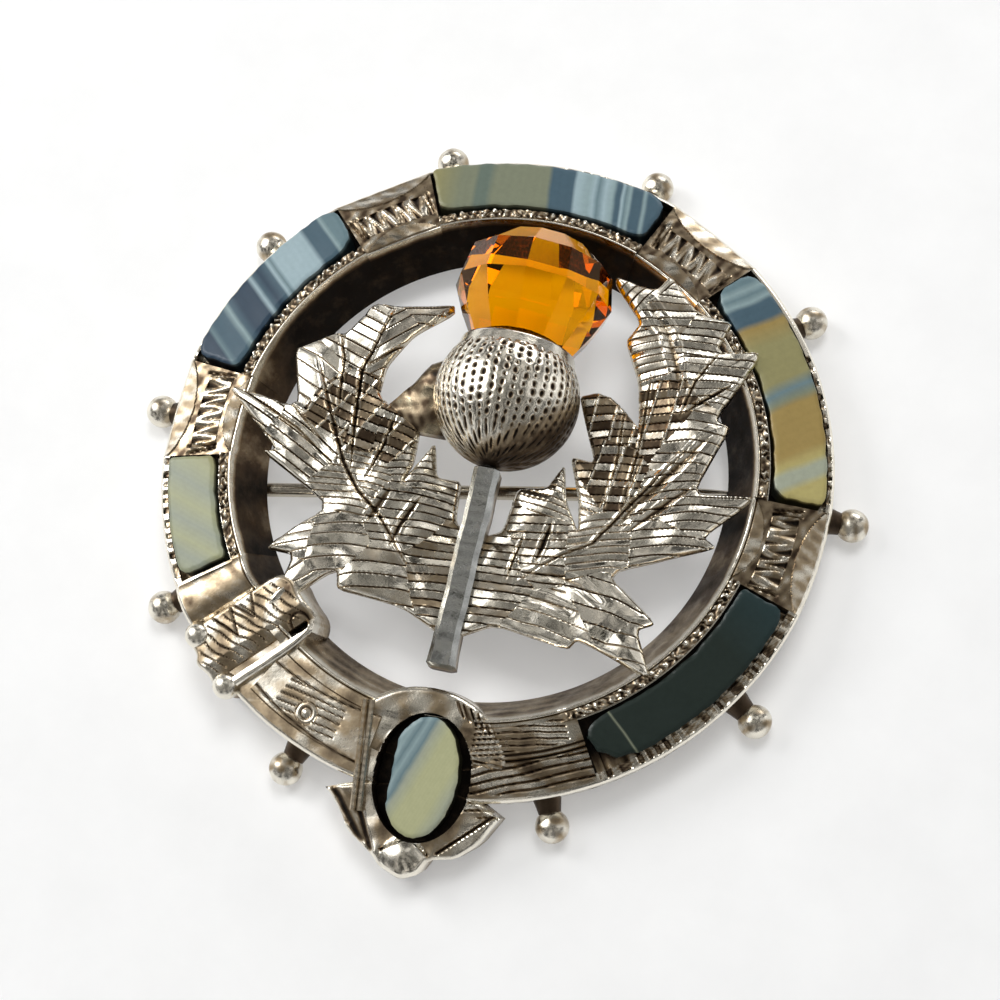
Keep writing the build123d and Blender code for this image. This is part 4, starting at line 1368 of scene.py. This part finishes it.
def citrine_material():
    """Clear orange stone, a little deeper in places."""
    material, tree, shader, place = new_material("citrine")
    cloud = noise(tree, place, scale=260.0, detail=3.0, roughness=0.55)
    colour = ramp(tree, cloud, [(0.3, (1.0, 0.56, 0.0)), (0.5, (1.0, 0.64, 0.0)), (0.72, (1.0, 0.72, 0.01))])
    set_shader(tree, shader, Base_Color=colour, Transmission_Weight=1.0, IOR=1.55, Roughness=0.01)
    set_shader(tree, shader, Specular_IOR_Level=0.1, Specular_Tint=(1.0, 0.45, 0.1, 1.0))
    depth = add(tree, "ShaderNodeVolumeAbsorption", Color=(0.99, 0.54, 0.03, 1.0), Density=150.0)
    tree.links.new(depth.outputs["Volume"], tree.nodes["Material Output"].inputs["Volume"])
    return material


def floor_material():
    """Plain pale surface with a faint grain."""
    material, tree, shader, place = new_material("floor")
    cloud = noise(tree, place, scale=160.0, detail=4.0, roughness=0.6)
    colour = ramp(tree, cloud, [(0.3, (0.9, 0.9, 0.895)), (0.7, (0.94, 0.94, 0.935))])
    set_shader(tree, shader, Base_Color=colour, Roughness=0.7)
    return material


def screen_colour(red, green, blue):
    """Linear colour of one given as a screen shows it."""
    shares = np.array([red, green, blue]) / 255.0
    return tuple(np.where(shares <= 0.04045, shares / 12.92, ((shares + 0.055) / 1.055) ** 2.4))


def lamp(name, place, size, power):
    """Soft white light at a place, in metres, that looks at the frame's origin."""
    data = bpy.data.lights.new(name, "AREA")
    data.shape = "RECTANGLE"
    data.size, data.size_y = size
    data.energy = power
    light = new_object(name, data)
    light.location = place
    light.rotation_euler = (-Vector(place)).to_track_quat("-Z", "Y").to_euler()
    return light


# Materials
silver_bright = silver("silver", (0.9, 0.85, 0.74), 0.56)
silver_warm = silver("silver_warm", (0.7, 0.6, 0.42), 0.6)
silver_grey = silver("silver_grey", (0.42, 0.425, 0.41), 0.4)
silver_wire = silver("pin_wire", (0.6, 0.55, 0.46), 0.5)

# Silver pieces
bays, plates, strap = belt()
belt_piece = make("belt_bays", bays, silver_bright)
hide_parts("silver_frame")
make("belt_panels", plates, silver_bright)
make("belt_strap", [strap], silver_bright)
make("leaf_left", [leaf(left_leaf, left_hatch, left_cuts)], silver_bright)
make("leaf_right", [leaf(right_leaf, right_hatch, right_cuts)], silver_bright)
make("bulb", [bulb()], silver_bright, sharp=60.0)
make("cup", [cup()], silver_bright, sharp=50.0)
make("stem", [stem()], silver_grey)
make("arm", [arm()], silver_warm, sharp=50.0)
make("balls", [part for angle in ball_angles for part in ball(angle)], silver_bright, sharp=50.0)
make("strap_end", [lifted(strap_end())], silver_bright)
make("buckle", buckle(), silver_bright)
make("keeper", keeper(), silver_bright)
make("hinge_and_catch", hinge(), silver_bright, sharp=45.0)

# Colours of the stones as a screen shows them
stone_colours = {
    "green_black": (29, 38, 34),
    "dark_teal": (32, 50, 52),
    "navy": (40, 58, 74),
    "slate": (66, 88, 100),
    "blue_grey": (98, 120, 126),
    "pale_blue": (150, 170, 176),
    "mist": (134, 154, 156),
    "sage": (96, 109, 99),
    "grey_green": (118, 123, 103),
    "olive": (138, 133, 92),
    "honey": (148, 127, 75),
    "straw": (168, 157, 102),
    "cream": (170, 171, 132),
    "ash": (153, 158, 140),
    "moss": (154, 156, 122),
    "grey_moss": (140, 146, 130),
}

# Stones: place of the middle, direction and length of the bands, unevenness, how far the bands
# bend, and the colours along that direction, each with its place as a share of the length
stone_looks = {
    "agate_top": (
        (-0.4, 18.0), 6.0, 14.6, 0.07, 0.04,
        [
            (0.0, "olive"), (0.12, "grey_green"), (0.17, "grey_green"), (0.19, "sage"), (0.23, "sage"),
            (0.26, "grey_green"), (0.48, "grey_green"), (0.5, "slate"), (0.59, "slate"), (0.605, "pale_blue"),
            (0.66, "mist"), (0.68, "pale_blue"), (0.7, "blue_grey"), (0.73, "pale_blue"), (0.76, "mist"),
            (0.775, "slate"), (0.79, "slate"), (0.8, "pale_blue"), (0.812, "blue_grey"), (0.83, "mist"),
            (0.842, "slate"), (0.88, "slate"), (0.893, "mist"), (0.908, "slate"), (1.0, "slate"),
        ],
    ),
    "agate_upper_right": (
        (15.4, 8.1), -50.0, 14.4, 0.08, 0.07,
        [
            (0.0, "blue_grey"), (0.05, "blue_grey"), (0.075, "mist"), (0.1, "blue_grey"), (0.13, "mist"),
            (0.15, "slate"), (0.22, "slate"), (0.25, "honey"), (0.34, "olive"), (0.5, "olive"),
            (0.55, "blue_grey"), (0.59, "grey_green"), (0.62, "honey"), (0.72, "honey"), (0.8, "honey"),
            (0.85, "straw"), (0.88, "ash"), (0.92, "ash"), (0.95, "straw"), (1.0, "straw"),
        ],
    ),
    "agate_lower_right": (
        (14.2, -11.0), -130.0, 15.0, 0.12, 0.05,
        [
            (0.0, "dark_teal"), (0.3, "green_black"), (0.795, "green_black"), (0.8, "grey_green"),
            (0.806, "green_black"), (1.0, "green_black"),
        ],
    ),
    "agate_oval": (
        (0.2, -18.9), -22.0, 5.4, 0.06, 0.08,
        [
            (0.0, "blue_grey"), (0.16, "mist"), (0.22, "blue_grey"), (0.27, "mist"), (0.33, "blue_grey"),
            (0.38, "ash"), (0.5, "cream"), (0.75, "cream"), (0.9, "ash"), (1.0, "olive"),
        ],
    ),
    "agate_left": (
        (-17.0, -6.3), 70.0, 7.6, 0.06, 0.06,
        [
            (0.0, "moss"), (0.2, "grey_moss"), (0.3, "moss"), (0.42, "grey_moss"), (0.55, "moss"),
            (0.7, "grey_moss"), (0.85, "moss"), (1.0, "olive"),
        ],
    ),
    "agate_upper_left": (
        (-15.9, 8.6), 46.0, 12.6, 0.06, 0.02,
        [
            (0.0, "navy"), (0.13, "navy"), (0.145, "blue_grey"), (0.17, "slate"), (0.24, "slate"),
            (0.27, "mist"), (0.29, "slate"), (0.33, "navy"), (0.42, "navy"), (0.44, "pale_blue"),
            (0.46, "slate"), (0.49, "navy"), (0.535, "slate"), (0.55, "pale_blue"), (0.57, "blue_grey"),
            (0.59, "pale_blue"), (0.76, "pale_blue"), (0.785, "slate"), (0.86, "slate"), (0.875, "mist"),
            (0.895, "blue_grey"), (1.0, "blue_grey"),
        ],
    ),
}
stone_parts = {"agate_oval": oval_stone()}
for number, (name, first, last, lift, corners, outer, *_) in enumerate(stones):
    stone_parts[name] = curved_stone(first, last, lift, corners, outer, 91 + 3 * number)
for name, (middle, turn, length, speckle, warp, stops) in stone_looks.items():
    stops = [(share, screen_colour(*stone_colours[colour])) for share, colour in stops]
    material = agate(name, middle, turn, length, stops, speckle, warp)
    stone = make("stone_" + name, [stone_parts[name]], material, sharp=40.0, slot=name)
    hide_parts(name)

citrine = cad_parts["citrine"]
for node, material in ((citrine, citrine_material()), (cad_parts["pin"], silver_wire)):
    node.data.materials.clear()
    node.data.materials.append(material)
# The stone throws no coloured patch on the floor
citrine.visible_diffuse = False

# Floor
floor_half = 0.6
floor_corners = [(x * floor_half, y * floor_half, 0) for x, y in ((-1, -1), (1, -1), (1, 1), (-1, 1))]
floor_mesh = bpy.data.meshes.new("floor")
floor_mesh.from_pydata(floor_corners, [], [(0, 1, 2, 3)])
floor_mesh.materials.append(floor_material())
floor = new_object("floor", floor_mesh)

# Camera
turn, rise, roll = np.radians([camera_turn, camera_rise, camera_roll])
back = Vector((np.sin(turn) * np.cos(rise), -np.cos(turn) * np.cos(rise), np.sin(rise)))
level = (-back).cross(Vector((0, 1, 0))).normalized()
upright = level.cross(-back)
right = level * np.cos(roll) + upright * np.sin(roll)
up = upright * np.cos(roll) - level * np.sin(roll)
camera_data = bpy.data.cameras.new("camera")
camera_data.sensor_fit = "HORIZONTAL"
camera_data.angle = np.radians(picture_angle)
camera_data.clip_start = 0.005
camera = new_object("camera", camera_data)
place = (Vector(camera_aim) + back * camera_distance) * metres
camera.matrix_world = Matrix(
    (
        (right.x, up.x, back.x, place.x),
        (right.y, up.y, back.y, place.y),
        (right.z, up.z, back.z, place.z),
        (0, 0, 0, 1),
    )
)
bpy.context.scene.camera = camera

# Lights: one at the left and one low behind the flower, neither seen through the citrine,
# and one overhead that the metal doesn't mirror
lamp("left", (-0.3, 0.1, 0.26), (0.14, 0.2), 0.52).visible_transmission = False
lamp("behind", (0.08, 0.42, 0.16), (0.3, 0.08), 0.2).visible_transmission = False
lamp("overhead", (0.03, 0.2, 0.44), (0.2, 0.2), 0.72).visible_glossy = False
# Even light from above that casts no shadow, as a white room gives
fill_data = bpy.data.lights.new("fill", "SUN")
fill_data.energy = 1.64
fill_data.angle = np.radians(60.0)
fill_data.use_shadow = False
new_object("fill", fill_data).visible_glossy = False

# Surround: a grey room in soft patches that lights nothing but is mirrored
world = bpy.data.worlds.new("surround")
bpy.context.scene.world = world
world.cycles_visibility.diffuse = False
world.use_nodes = True
tree = world.node_tree
direction = add(tree, "ShaderNodeTexCoord").outputs["Generated"]
room = [
    (0.0, (0.3, 0.3, 0.3)),
    (0.15, (0.28, 0.28, 0.28)),
    (0.45, (0.26, 0.255, 0.245)),
    (0.75, (0.26, 0.25, 0.235)),
    (1.0, (0.22, 0.215, 0.2)),
]
sky = ramp(tree, add(tree, "ShaderNodeSeparateXYZ", direction).outputs["Z"], room)
rooms = noise(tree, direction, scale=4.0, detail=1.5, roughness=0.5)
patches = stretch(tree, rooms, (0.4, 0.62), (0.12, 2.6), "SMOOTHSTEP")
total = blend(tree, "MULTIPLY", sky, patches)
# Bright and dark places round the object: direction, angles of its core and of its edge, brightness
cards = [
    ("window", (-0.71, 0.11, 0.69), 9.0, 32.0, 2.4),
    ("window foot", (-0.89, 0.29, 0.36), 8.0, 20.0, 1.6),
    ("wall behind", (0.195, 0.913, 0.359), 8.0, 22.0, 1.2),
    ("wall right", (0.72, 0.2, 0.665), 6.0, 24.0, 0.35),
    ("low right", (0.9, 0.42, 0.1), 6.0, 20.0, 0.9),
    ("photographer", (-0.165, 0.288, 0.943), 8.0, 20.0, -0.07),
    ("window above", (0.13, 0.29, 0.948), 4.0, 15.0, 0.42),
]
for _, aim, core, rim, bright in cards:
    near = add(tree, "ShaderNodeVectorMath", direction, aim, operation="DOT_PRODUCT").outputs["Value"]
    glow = stretch(tree, near, np.cos(np.radians([rim, core])), (0.0, bright), "SMOOTHSTEP")
    total = blend(tree, "ADD", total, glow)
put(tree, tree.nodes["Background"].inputs["Color"], total)
bpy.context.scene.view_settings.view_transform = "Standard"
